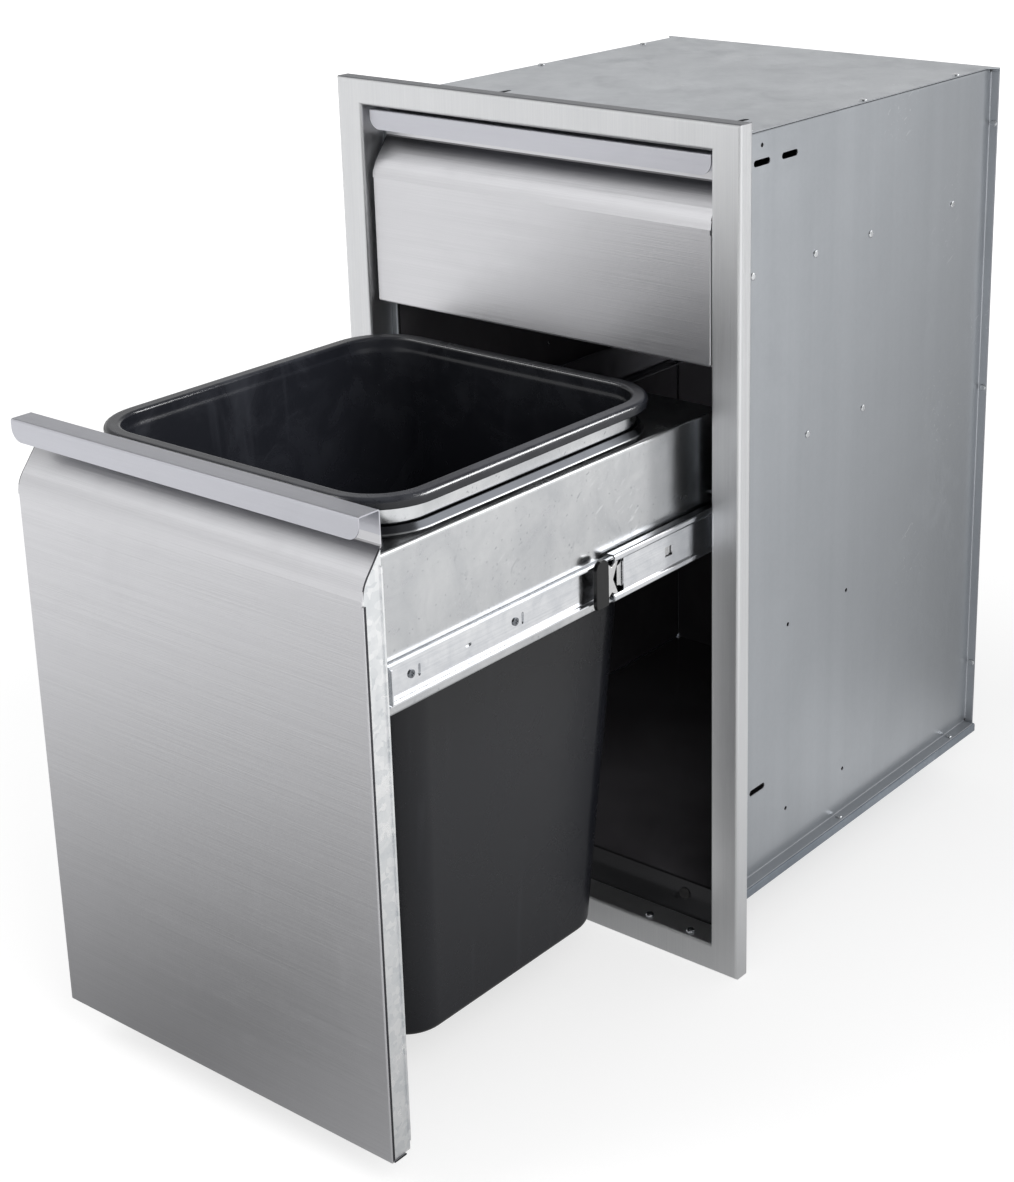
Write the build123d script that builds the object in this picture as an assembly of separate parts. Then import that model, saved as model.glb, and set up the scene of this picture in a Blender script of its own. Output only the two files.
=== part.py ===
from build123d import *
import os
from math import atan2, cos, sin, tan

# A built-in cabinet with a pull-out bin below and a shallow drawer above.
# Millimetres. +X to the right, +Y into the wall, +Z up. The origin is the middle of the
# face frame, in the plane of the wall that the frame's rear hem lies against.
# The pull-out is modelled part way out, and the drawer is modelled closed.

# ---------------------------------------------------------------- face frame
frame_width = 402.0
frame_height = 700.0
stile_width = 26.0
top_rail_height = 21.5
bottom_rail_height = 24.0
frame_depth = 16.0          # how far the frame's face stands off the wall
frame_return = 27.0         # front to back of the return round the opening
frame_sheet = 1.2
frame_bend = 2.0            # radius at the middle of the bent sheet
wall_hem = 9.0
return_hem = 10.0

# ---------------------------------------------------------------- box behind the frame
box_depth = 403.0           # front of the box's flanges to the back of the back panel
box_sheet = 1.0
box_bend = 1.5
box_side_inset = 4.25       # the box is this much narrower than the opening, each side
box_top_rise = 4.3          # top of the box above the opening's top edge
floor_rise = 31.4           # cabinet floor above the opening's bottom edge
front_flange = 13.0
front_flange_drop = 42.0    # the floor's front flange reaches this far down
front_flange_rise = 12.0
back_flange = 8.0
foot_flange = 9.5           # outward flange along the foot of each side
foot_lip = 7.5
top_flange = 13.0           # inward flange that carries the top panel
bend_relief = 3.0           # length cut away where two bends would meet

# ---------------------------------------------------------------- slots, holes and rivets
slot_length = 22.0
slot_width = 5.2
slot_first = 45.5           # first slot behind the box's front flanges
slot_pitch = 38.0
upper_slot_drop = 24.8      # below the box's top
lower_slot_rise = 77.6      # above the cabinet floor
top_slot_offsets = (-102.0, 137.0)
top_slot_setback = 65.0
spare_hole_radius = 1.8
spare_hole_rises = (0.0663, 0.3357)     # shares of the box's height above its floor
spare_hole_setbacks = (0.2208, 0.4442)  # shares of the box's depth
plug_rise = 0.5875
plug_setbacks = (0.2829, 0.4938)
corner_hole_drop = 11.8
rivet_radius = 1.9
rivet_fit = 0.06            # gap round a rivet's or a screw's shank
rivet_head_radius = 3.1
rivet_head_height = 1.1
back_rivet_drops = (0.078, 0.464, 0.9)  # shares of the box's height below its top
foot_rivet_setbacks = (0.414, 0.896)
top_rivet_setbacks = (0.082, 0.484, 0.856)
top_rivet_inset = 4.0
slide_rivet_setbacks = (0.0844, 0.3027, 0.5087, 0.8437)

# ---------------------------------------------------------------- door and drawer front
side_gap = 4.2
bottom_gap = 10.0
middle_gap = 4.0
top_gap = 3.5
drawer_front_height = 162.0
front_recess = 6.0          # the fronts close this far behind the frame's face
front_depth = 19.5
front_sheet = 1.0
front_bend = 1.4
lip_height = 16.5
lip_corner = 10.0
handle_back = 25.0          # depth of the finger channel
slope_corner = 48.5         # where the slope and the face would meet, below the top
slope_radius = 24.0
edge_return = 3.0
foot_return = 14.0
return_notch = 4.0
pan_gap = 0.3
pan_sheet = 1.0
pan_hem = 1.5
pan_hem_stand = 1.2
notch_rise = 9.0

# ---------------------------------------------------------------- telescopic slides
slide_thickness = 12.7
slide_height = 45.0
slide_sheet = 1.2
slide_inset = 8.0           # slides start this far behind the box's front flanges
slide_back_gap = 5.0
extra_travel = 2.0          # full travel, past the slide's own length
unused_travel = 14.7        # travel left beyond the modelled position
ball_radius = 1.1
ball_clearance = 0.3
cage_sheet = 0.6
cage_length = 140.0
cage_gap = 0.4
outer_cage_start = 115.0    # behind the slide's front end, when closed
inner_cage_start = 145.0
balls_per_row = 5
ball_pitch = 28.0
guide_start = 23.5
guide_length = 21.0
middle_short = 10.0         # the middle member ends this far before the channel does
middle_notch = 12.0
window_start = 107.6
window_length = 9.0
window_height = 8.0
tab_sheet = 1.2
screw_setbacks = (0.064, 0.336, 0.874)  # shares of the slide's length
side_slot_step = 8.0
key_slot_setback = 82.0

# ---------------------------------------------------------------- pull-out tray and bin
tray_sheet = 1.2
tray_bend = 2.2
tray_short = 2.0            # the tray is this much shorter than the slides
tray_drop = 38.0            # top of the tray below the top of the door
tray_height = 116.0
tray_lip = 12.0
tray_slide_rise = 25.0      # slide centre above the tray's bottom edge
rim_side_margin = 5.0
rim_front_margin = 20.0
rim_back_margin = 50.0
rim_above_tray = 27.0
rim_overhang = 11.0
rim_corner = 50.0
rim_drop = 8.5
bin_wall = 2.5
bin_floor_gap = 1.6
bin_taper = 30.0            # narrower at the foot than at the rim, each side
bin_taper_depth = 34.0      # the same, front and back
bin_corner = 39.0
bin_foot_corner = 32.0
bin_foot_radius = 6.0
rim_inner_radius = 1.5
ring_sheet = 1.2
ring_gap = 0.4              # between the bin's body and the ring, at the top
ring_flange = 8.0           # turned outwards under the tray's top
collar_gap = 1.5            # between the ring and the raised edge of the tray's hole
collar_rise = 5.0
collar_run = 4.0
collar_width = 1.4
rest_gap = 0.3              # between the bin's rim and the ring that carries it
bin_lift = 8.0

# ---------------------------------------------------------------- drawer box
drawer_sheet = 1.0
drawer_box_rise = 8.0
drawer_box_height = 110.0
drawer_slide_rise = 59.0    # slide centre above the drawer front's bottom edge
drawer_box_short = 5.0
drawer_hem = 6.0

# ---------------------------------------------------------------- screws and bumpers
screw_radius = 2.0
screw_head_radius = 3.6
screw_head_height = 2.4
screw_length = 7.0
flat_head_height = 0.25
cross_width = 1.0
cross_length = 3.6
cross_depth = 1.1
sill_screw_offsets = (-150.0, -108.0, 108.0, 150.0)
sill_screw_setback = 7.0
door_screw_inset = 40.0
door_screw_drop = 28.0
bumper_radius = 5.0
bumper_height = 1.2
bumper_offset = 130.0
bumper_drop = 12.0

# ---------------------------------------------------------------- places worked out
frame_half = frame_width / 2
frame_top = frame_height / 2
frame_bottom = -frame_height / 2
frame_face = -frame_depth
opening_half = frame_half - stile_width
opening_top = frame_top - top_rail_height
opening_bottom = frame_bottom + bottom_rail_height

flange_front = frame_face + frame_return
box_back = flange_front + box_depth
box_half = opening_half - box_side_inset
box_inside = box_half - box_sheet
box_top = opening_top + box_top_rise
floor_top = opening_bottom + floor_rise

front_half = opening_half - side_gap
door_bottom = opening_bottom + bottom_gap
drawer_top = opening_top - top_gap
drawer_bottom = drawer_top - drawer_front_height
door_top = drawer_bottom - middle_gap
door_height = door_top - door_bottom
closed_face = frame_face + front_recess
front_rear = closed_face + front_depth

slide_length = box_depth - slide_inset - slide_back_gap
slide_front = flange_front + slide_inset
slide_travel = slide_length + extra_travel
pulled_out = slide_travel - unused_travel

tray_half = box_inside - slide_thickness
tray_top = door_top - tray_drop
tray_bottom = tray_top - tray_height
tray_back = front_rear + slide_length - tray_short
trash_slide_height = tray_bottom + tray_slide_rise
drawer_slide_height = drawer_bottom + drawer_slide_rise

rim_half = tray_half - rim_side_margin
rim_front = front_rear + rim_front_margin
rim_back = tray_back - rim_back_margin
bin_middle = (rim_front + rim_back) / 2
rim_depth = rim_back - rim_front
rim_top = tray_top + rim_above_tray
bin_bottom = floor_top + bin_floor_gap
bin_half = rim_half - rim_overhang
bin_half_depth = rim_depth / 2 - rim_overhang

box_height = box_top - floor_top
spare_hole_z = [floor_top + share * box_height for share in spare_hole_rises]
spare_hole_y = [flange_front + share * box_depth for share in spare_hole_setbacks]
plug_z = floor_top + plug_rise * box_height
plug_y = [flange_front + share * box_depth for share in plug_setbacks]
back_rivet_z = [box_top - share * box_height for share in back_rivet_drops]
foot_rivet_y = [flange_front + share * box_depth for share in foot_rivet_setbacks]
top_rivet_y = [flange_front + share * box_depth for share in top_rivet_setbacks]
slide_rivet_y = [flange_front + share * box_depth for share in slide_rivet_setbacks]
runner_screw_y = [slide_front + share * slide_length for share in screw_setbacks]

parts = {}


# ---------------------------------------------------------------- helpers
def block(x, y, z):
    """A box between a low and a high value on each axis."""
    middle = [(low + high) / 2 for low, high in (x, y, z)]
    size = [high - low for low, high in (x, y, z)]
    return Pos(*middle) * Box(*size)


def bent(points, thickness, radius):
    """A bent strip of sheet, drawn along the middle of its thickness."""
    return trace(FilletPolyline(*points, radius=radius), line_width=thickness)


def along_x(profile, low, high):
    """A profile drawn in Y and Z, between two X values."""
    return extrude(Plane.YZ.offset(low) * profile, amount=high - low)


def along_y(profile, low, high):
    """A profile drawn in X and Z, between two Y values."""
    return extrude(Plane.XZ.offset(-high) * profile, amount=high - low)


def along_z(profile, low, high):
    """A profile drawn in X and Y, between two Z values."""
    return extrude(Plane.XY.offset(low) * profile, amount=high - low)


def rod(axis, at, radius, low, high):
    """A cylinder along one axis; at holds its place on the other two."""
    if axis == "x":
        return along_x(Pos(*at) * Circle(radius), low, high)
    if axis == "y":
        return along_y(Pos(*at) * Circle(radius), low, high)
    return along_z(Pos(*at) * Circle(radius), low, high)


def slot_y(x, y, z, depth, axis):
    """A slot with round ends that runs along Y, cut through a side or a top."""
    outline = SlotOverall(slot_length, slot_width)
    if axis == "x":
        return along_x(Pos(y, z) * outline, x - depth, x + depth)
    return along_z(Pos(x, y) * (Rot(0, 0, 90) * outline), z - depth, z + depth)


def near(value, target):
    """Whether two lengths are the same, to a hundredth."""
    return abs(value - target) < 0.01


def mirrored(shape):
    """The same piece on the other side of the cabinet."""
    return mirror(shape, Plane.YZ)


def moved(shape, out):
    """The same piece, pulled out towards the user."""
    return Pos(0, -out, 0) * shape


def solids_of(shapes):
    """Several separate solids in one node."""
    found = []
    for shape in shapes:
        found.extend(shape.solids())
    return Compound(children=found)


def rivet(axis, at, start, end, outward):
    """A rivet through two sheets: round head, shank and a flat clenched end.

    start and end are the two faces of the sheets, and the head is on the side that
    outward points to: 1 for the higher value, -1 for the lower."""
    shank = rod(axis, at, rivet_radius, start, end)
    head_base = end if outward > 0 else start
    low, high = sorted((head_base, head_base + outward * rivet_head_height))
    head = rod(axis, at, rivet_head_radius, low, high)
    crown = [e for e in head.edges().filter_by(GeomType.CIRCLE)]
    tip = {"x": Axis.X, "y": Axis.Y, "z": Axis.Z}[axis]
    crown.sort(key=lambda e: outward * e.center().dot(tip.direction))
    head = fillet(crown[-1], rivet_head_height * 0.8)
    return shank + head


def pan_screw(axis, at, seat, inward):
    """A pan-head cross-recessed screw; its shank runs from seat along inward."""
    low, high = sorted((seat, seat + inward * screw_length))
    shank = rod(axis, at, screw_radius, low, high)
    low, high = sorted((seat, seat - inward * screw_head_height))
    head = rod(axis, at, screw_head_radius, low, high)
    tip = {"x": Axis.X, "y": Axis.Y, "z": Axis.Z}[axis]
    crown = sorted(head.edges().filter_by(GeomType.CIRCLE),
                   key=lambda e: -inward * e.center().dot(tip.direction))[-1]
    head = fillet(crown, screw_head_height * 0.6)
    top = seat - inward * screw_head_height
    low, high = sorted((top, top + inward * cross_depth))
    for width, length in ((cross_width, cross_length), (cross_length, cross_width)):
        bar = Rectangle(width, length)
        if axis == "x":
            head -= along_x(Pos(*at) * bar, low, high)
        elif axis == "y":
            head -= along_y(Pos(*at) * bar, low, high)
        else:
            head -= along_z(Pos(*at) * bar, low, high)
    return shank + head


def hole(axis, at, low, high, radius=rivet_radius):
    """The hole that a rivet or a screw of this radius passes through."""
    return rod(axis, at, radius + rivet_fit, low, high)


# ---------------------------------------------------------------- face frame
def face_frame():
    """Folded sheet all round the opening: wall hem, outer return, face and inner return.

    Its two stiles and two rails are mitred, welded at the corners and ground flush."""
    sheet = frame_sheet

    def outside(inset, low, high):
        return block((-frame_half + inset, frame_half - inset), (low, high),
                     (frame_bottom + inset, frame_top - inset))

    def opening(outset, low, high):
        return block((-opening_half - outset, opening_half + outset), (low, high),
                     (opening_bottom - outset, opening_top + outset))

    frame = outside(0, frame_face, 0) - outside(sheet, frame_face + sheet, -sheet)
    frame -= outside(wall_hem, -sheet - 1, 1)
    frame -= opening(0, frame_face - 1, 1)
    tube = opening(sheet, frame_face, flange_front)
    tube += opening(return_hem, flange_front - sheet, flange_front)
    frame += tube - opening(0, frame_face - 1, flange_front + 1)

    def outer_edges(y, inset):
        return [e for e in frame.edges() if e.length > 100 and near(e.center().Y, y)
                and (near(abs(e.center().X), frame_half - inset)
                     or near(abs(e.center().Z), frame_top - inset))]

    def inner_edges(y, outset):
        return [e for e in frame.edges() if e.length > 100 and near(e.center().Y, y)
                and (near(abs(e.center().X), opening_half + outset)
                     or near(e.center().Z, opening_top + outset)
                     or near(e.center().Z, opening_bottom - outset))]

    hollow_side = frame_bend - sheet / 2
    round_side = frame_bend + sheet / 2
    frame = fillet(outer_edges(frame_face + sheet, sheet), hollow_side)
    frame = fillet(outer_edges(-sheet, sheet), hollow_side)
    frame = fillet(inner_edges(frame_face + sheet, sheet), hollow_side)
    frame = fillet(inner_edges(flange_front - sheet, sheet), hollow_side)
    frame = fillet(outer_edges(frame_face, 0), round_side)
    frame = fillet(outer_edges(0, 0), round_side)
    frame = fillet(inner_edges(frame_face, 0), round_side)
    frame = fillet(inner_edges(flange_front, 0), round_side)

    for x in sill_screw_offsets:
        at = (x, frame_face + sill_screw_setback)
        frame -= hole("z", at, opening_bottom - 2 * sheet, opening_bottom + 1,
                      screw_radius)
    parts["face_frame"] = frame


def sill_screws():
    """Screws that stand in the frame's lower return, just inside the opening."""
    screws = []
    for x in sill_screw_offsets:
        at = (x, frame_face + sill_screw_setback)
        screws.append(pan_screw("z", at, opening_bottom, -1))
    parts["sill_screws"] = solids_of(screws)


# ---------------------------------------------------------------- box
foot_rivet_offset = box_half + foot_flange / 2
back_rivet_offset = box_half + back_flange / 2 + 0.3
top_rivet_offset = box_half - top_rivet_inset


def side_panel():
    """The right side: flanges out at the front, back and foot, and in at the top."""
    half = box_sheet / 2
    wall = box_half - half
    level = [(wall + front_flange, flange_front + half), (wall, flange_front + half),
             (wall, box_back - box_sheet - half),
             (wall + back_flange, box_back - box_sheet - half)]
    upright = [(box_half - top_flange, box_top - box_sheet - half),
               (wall, box_top - box_sheet - half), (wall, floor_top + half),
               (box_half + foot_flange, floor_top + half)]
    panel = along_z(bent(level, box_sheet, box_bend), floor_top + bend_relief,
                    box_top - box_sheet - bend_relief)
    panel += along_y(bent(upright, box_sheet, box_bend), flange_front + bend_relief,
                     box_back - box_sheet - bend_relief)

    slot_y_first = flange_front + slot_first
    for y, z in ((slot_y_first, box_top - upper_slot_drop),
                 (slot_y_first + slot_pitch, box_top - upper_slot_drop),
                 (slot_y_first, floor_top + lower_slot_rise)):
        panel -= slot_y(box_half, y, z, 2 * box_sheet, "x")
    for z in spare_hole_z:
        for y in spare_hole_y:
            panel -= rod("x", (y, z), spare_hole_radius, wall - 2, wall + 2)
    corner = (slot_y_first, box_top - corner_hole_drop)
    panel -= rod("x", corner, spare_hole_radius, wall - 2, wall + 2)
    for y in plug_y:
        panel -= hole("x", (y, plug_z), wall - 2, wall + 2)
    for y in slide_rivet_y:
        panel -= hole("x", (y, drawer_slide_height), wall - 2, wall + 2)
    for z in back_rivet_z:
        panel -= hole("y", (back_rivet_offset, z), box_back - 5, box_back)
    for y in foot_rivet_y:
        panel -= hole("z", (foot_rivet_offset, y), floor_top - 2, floor_top + 3)
    for y in top_rivet_y:
        panel -= hole("z", (top_rivet_offset, y), box_top - 5, box_top + 1)
    return panel


def box_panels():
    """The five panels of the box."""
    right = side_panel()
    parts["side_panel_right"] = right
    parts["side_panel_left"] = mirrored(right)

    half = box_sheet / 2
    ear = box_half + back_flange - half
    ear_start = box_back - box_sheet - back_flange
    back_line = box_back - box_sheet
    outline = Polyline((-box_half, flange_front), (box_half, flange_front),
                       (box_half, ear_start), (ear, back_line), (-ear, back_line),
                       (-box_half, ear_start), close=True)
    top = along_z(make_face(outline), box_top - box_sheet, box_top)
    top += block((-box_half, box_half), (flange_front, flange_front + box_sheet),
                 (box_top - box_sheet, box_top + front_flange_rise))
    for x in top_slot_offsets:
        top -= slot_y(x, flange_front + top_slot_setback, box_top, 2 * box_sheet, "z")
    for side in (-1, 1):
        for y in top_rivet_y:
            top -= hole("z", (side * top_rivet_offset, y), box_top - 5, box_top + 1)
    parts["top_panel"] = top

    lip = box_half + foot_flange + half
    foot = [(-lip, floor_top - foot_lip), (-lip, floor_top - half),
            (lip, floor_top - half), (lip, floor_top - foot_lip)]
    base = along_y(bent(foot, box_sheet, 1.0), flange_front, box_back - box_sheet)
    flange_half = opening_half - 7.0
    base += block((-flange_half, flange_half), (flange_front, flange_front + box_sheet),
                  (floor_top - front_flange_drop, floor_top))
    for side in (-1, 1):
        for y in foot_rivet_y:
            base -= hole("z", (side * foot_rivet_offset, y), floor_top - 2, floor_top + 1)
    parts["bottom_panel"] = base

    back = block((-ear, ear), (back_line, box_back), (floor_top - box_sheet, box_top))
    for side in (-1, 1):
        for z in back_rivet_z:
            back -= hole("y", (side * back_rivet_offset, z), back_line - 1, box_back + 1)
    parts["back_panel"] = back


def box_rivets():
    """Rivets that hold the box's panels together, and plugs in its spare holes."""
    back, foot, top, plugs = [], [], [], []
    for side in (-1, 1):
        for z in back_rivet_z:
            at = (side * back_rivet_offset, z)
            back.append(rivet("y", at, box_back - 2 * box_sheet, box_back, -1))
        for y in foot_rivet_y:
            at = (side * foot_rivet_offset, y)
            foot.append(rivet("z", at, floor_top - box_sheet, floor_top + box_sheet, 1))
        for y in top_rivet_y:
            at = (side * top_rivet_offset, y)
            top.append(rivet("z", at, box_top - 2 * box_sheet, box_top, 1))
        for y in plug_y:
            low, high = sorted((side * box_inside, side * box_half))
            plugs.append(rivet("x", (y, plug_z), low, high, side))
    parts["back_rivets"] = solids_of(back)
    parts["foot_rivets"] = solids_of(foot)
    parts["top_rivets"] = solids_of(top)
    parts["plug_rivets"] = solids_of(plugs)


def door_bumpers():
    """Rubber discs on the floor's front flange, which the closing door meets."""
    discs = []
    for side in (-1, 1):
        at = (side * bumper_offset, floor_top - bumper_drop)
        discs.append(rod("y", at, bumper_radius, flange_front - bumper_height,
                         flange_front))
    parts["door_bumpers"] = solids_of(discs)


# ---------------------------------------------------------------- fronts
def front_skin(top, height):
    """A front bent from one sheet: lip, handle channel, slope, face and returns."""
    half = front_sheet / 2
    face = closed_face + half
    rear = front_rear - half
    path = [(face, top - lip_height), (face, top - half), (rear, top - half),
            (rear, top - handle_back), (face, top - slope_corner),
            (face, top - height + half), (face + foot_return, top - height + half)]
    radii = [front_bend, front_bend, front_bend, slope_radius, front_bend]
    skin = along_x(bent(path, front_sheet, radii), -front_half, front_half)

    fold = top - slope_corner - slope_radius * tan(slope_angle() / 2)
    strip = front_half - front_sheet
    skin -= block((-front_half - 1, front_half + 1),
                  (closed_face - 1, closed_face + 2 * front_bend),
                  (top - height - 1, fold)) & (
        block((-front_half - 1, -strip), (closed_face - 1, closed_face + 9),
              (top - height - 1, fold))
        + block((strip, front_half + 1), (closed_face - 1, closed_face + 9),
                (top - height - 1, fold)))
    for side in (-1, 1):
        edge = side * (front_half - half)
        line = [(edge - side * 3, closed_face + half), (edge, closed_face + half),
                (edge, closed_face + edge_return)]
        skin += along_z(bent(line, front_sheet, front_sheet), top - height + 2,
                        fold - return_notch)
        low, high = sorted((side * front_half, side * (front_half - lip_corner)))
        corner = block((low, high), (closed_face - 1, closed_face + front_sheet + 0.01),
                       (top - lip_height - 1, top - lip_height + lip_corner))
        corner -= rod("y", (side * (front_half - lip_corner),
                            top - lip_height + lip_corner), lip_corner,
                      closed_face - 2, closed_face + 3)
        skin -= corner
    return skin


def slope_angle():
    """How far the sheet turns from the slope under the handle to the face."""
    return atan2(front_depth - front_sheet, slope_corner - handle_back)


def pan_outline(top, height, inset):
    """What the skin encloses, seen from the side, drawn in by inset at the front."""
    angle = slope_angle()
    front = closed_face + front_sheet + pan_gap + inset
    shift = (front_sheet + pan_gap + inset) / cos(angle)
    corner = top - slope_corner - shift * (1 - sin(angle))
    rear = front_rear
    rise = (rear - front) / tan(angle)
    peak = corner + rise
    bottom = top - height + front_sheet + pan_gap + (pan_sheet if inset else 0)
    line = FilletPolyline((rear, peak), (front, corner), (front, bottom),
                          radius=slope_radius - front_sheet - pan_gap - inset)
    close = Polyline(line @ 1, (rear, bottom), line @ 0)
    return make_face(line + close)


def front_pan(top, height):
    """The plated steel pan behind a skin: two sides, a back and a foot."""
    half_width = front_half - front_sheet - pan_gap
    pan = along_x(pan_outline(top, height, 0.0), -half_width, half_width)
    inner = along_x(pan_outline(top, height, pan_sheet), -half_width + pan_sheet,
                    half_width - pan_sheet)
    pan -= inner & block((-half_width, half_width), (closed_face, front_rear - pan_sheet),
                         (top - height, top))
    mouth = block((-half_width + pan_sheet, half_width - pan_sheet),
                  (closed_face, front_rear - pan_sheet),
                  (top - height + front_sheet + pan_gap + pan_sheet, top))
    pan -= mouth
    for side in (-1, 1):
        low, high = sorted((side * half_width, side * (half_width + pan_hem_stand)))
        hem = block((low, high), (front_rear - pan_hem, front_rear),
                    (top - height + notch_rise, top - slope_corner + 10))
        pan += hem
    return pan


def cut_door_screws(shape, low, high):
    """Holes for the screws that join the door's pan to the tray's front wall."""
    for at in door_screw_places():
        shape -= hole("y", at, low, high, screw_radius)
    return shape


def door_screw_places():
    places = []
    for x in (-tray_half + door_screw_inset, 0.0, tray_half - door_screw_inset):
        for z in (tray_top - door_screw_drop, tray_bottom + door_screw_drop):
            places.append((x, z))
    return places


def drawer_screw_places():
    places = []
    top = drawer_bottom + drawer_box_rise + drawer_box_height
    for x in (-tray_half + door_screw_inset, tray_half - door_screw_inset):
        for z in (top - door_screw_drop, drawer_bottom + drawer_box_rise + door_screw_drop):
            places.append((x, z))
    return places


# ---------------------------------------------------------------- slides
def section(points, thickness, radius):
    """A slide section: u runs from the cabinet's wall inwards, v up from the centre."""
    return bent([(-u, v) for u, v in points], thickness, radius)


def slide_run(profile, centre, low, high):
    """A right-hand slide section set against the cabinet's wall."""
    return along_y(Pos(box_inside, centre) * profile, low, high)


race_gap = 2 * (ball_radius + ball_clearance)
channel_inner = slide_height / 2 - slide_sheet
middle_outer = channel_inner - race_gap
middle_inner = middle_outer - slide_sheet
runner_outer = middle_inner - race_gap
outer_race = (channel_inner + middle_outer) / 2
inner_race = (middle_inner + runner_outer) / 2
middle_ridge = 3.2          # how far the middle member's ridges stand off the wall
middle_web = 4.6
middle_end = 10.2
runner_reach = 7.2
channel_reach = 9.0
outer_ball_u = 5.0
inner_ball_u = 8.0


def slide_channel(centre):
    """The member fixed to the cabinet."""
    web = slide_sheet / 2
    edge = slide_height / 2 - web
    lip = edge - 1.2
    shape = [(channel_reach, -lip), (channel_reach, -edge), (web, -edge), (web, edge),
             (channel_reach, edge), (channel_reach, lip)]
    profile = section(shape, slide_sheet, [0.7, 1.8, 1.8, 0.7])
    return slide_run(profile, centre, slide_front, slide_front + slide_length)


def slide_middle(centre):
    """The middle member, notched at the front where the inner cage shows."""
    edge = middle_outer - slide_sheet / 2
    lip = edge - 1.0
    foot = edge - 3.7
    waist = foot - 1.6
    right = [(middle_web, waist), (middle_ridge, foot), (middle_ridge, edge),
             (middle_end, edge), (middle_end, lip)]
    left = [(u, -v) for u, v in reversed(right)]
    radii = [0.7, 1.3, 0.9, 0.9]
    profile = section(left + right, slide_sheet, radii + list(reversed(radii)))
    start = slide_front + guide_start + guide_length
    end = slide_front + slide_length - middle_short
    middle = slide_run(profile, centre, start, end)
    inner = box_inside - middle_web
    middle -= block((inner - 2, inner + 2), (start - 1, start + middle_notch),
                    (centre - waist, centre + waist))
    window = slide_front + window_start
    middle -= block((inner - 2, inner + 2), (window, window + window_length),
                    (centre - window_height / 2, centre + window_height / 2))
    return middle


def slide_guide(centre):
    """The black guide on the front end of the middle member."""
    start = slide_front + guide_start
    end = start + guide_length
    wall = box_inside - middle_ridge + slide_sheet / 2
    face = wall - 3.6
    guide = block((face, wall), (start, end), (centre - middle_outer, centre + middle_outer))
    for side in (-1, 1):
        low, high = sorted((centre + side * (runner_outer + 0.5),
                            centre + side * middle_outer))
        hook = block((box_inside - middle_end, face), (start + guide_length / 3, end),
                     (low, high))
        guide += hook
    corners = guide.edges().filter_by(Axis.X).sort_by(Axis.Y)[:2]
    return fillet(corners, 4.0)


def slide_runner(centre):
    """The member fixed to the drawer, with its screw holes, slots and front tab."""
    web = slide_thickness - slide_sheet / 2
    edge = runner_outer - slide_sheet / 2
    shape = [(runner_reach, -edge), (web, -edge), (web, edge), (runner_reach, edge)]
    profile = section(shape, slide_sheet, 1.6)
    runner = slide_run(profile, centre, slide_front, slide_front + slide_length)
    inner = box_inside - web
    runner += block((box_inside - slide_thickness, box_inside - runner_reach + 2.2),
                    (slide_front, slide_front + tab_sheet),
                    (centre - edge + 1.2, centre + edge - 1.2))
    for y in runner_screw_y:
        runner -= hole("x", (y, centre), inner - 2, inner + 2, screw_radius)
    for y in runner_screw_y[:2]:
        slot = Rot(0, 0, 90) * SlotOverall(9.0, 2.4)
        runner -= along_x(Pos(y + side_slot_step, centre) * slot, inner - 2, inner + 2)
    key = Pos(slide_front + key_slot_setback, centre) * SlotOverall(6.0, 2.4)
    runner -= along_x(key, inner - 2, inner + 2)
    return runner


def ball_places(centre, race, start):
    places = []
    first = start + (cage_length - (balls_per_row - 1) * ball_pitch) / 2
    for side in (-1, 1):
        for index in range(balls_per_row):
            places.append((first + index * ball_pitch, centre + side * race))
    return places


def slide_cage(centre, race, web, reach, ball_u, start):
    """A steel ball cage: a web with two arms, pierced for the balls."""
    shape = [(reach, -race), (web, -race), (web, race), (reach, race)]
    profile = section(shape, cage_sheet, 0.7)
    cage = slide_run(profile, centre, start, start + cage_length)
    for y, z in ball_places(centre, race, start):
        cage -= Pos(box_inside - ball_u, y, z) * Cylinder(ball_radius + ball_clearance, 3)
    bite = race * 0.75
    for side in (-1, 1):
        corner = Pos(start, centre + side * race * 0.95) * Circle(bite * 0.62)
        at = box_inside - web
        cut = along_x(corner, at - 0.6, at + 0.6)
        cage -= cut & block((at - 1, at + 1), (start - 1, start + bite),
                            (centre - race + 1.2, centre + race - 1.2))
    return cage


def slide_balls(centre, race, ball_u, start):
    return [Pos(box_inside - ball_u, y, z) * Sphere(ball_radius)
            for y, z in ball_places(centre, race, start)]


def flat_screw(y, z):
    """A low-headed screw through a runner's web into the drawer's side."""
    seat = box_inside - slide_thickness + slide_sheet
    shank = rod("x", (y, z), screw_radius, seat - slide_sheet - 4.0, seat)
    head = rod("x", (y, z), screw_head_radius - 0.6, seat, seat + flat_head_height + 0.6)
    for width, length in ((cross_width, cross_length), (cross_length, cross_width)):
        head -= along_x(Pos(y, z) * Rectangle(width, length), seat + 0.3,
                        seat + flat_head_height + 1)
    return shank + head


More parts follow.
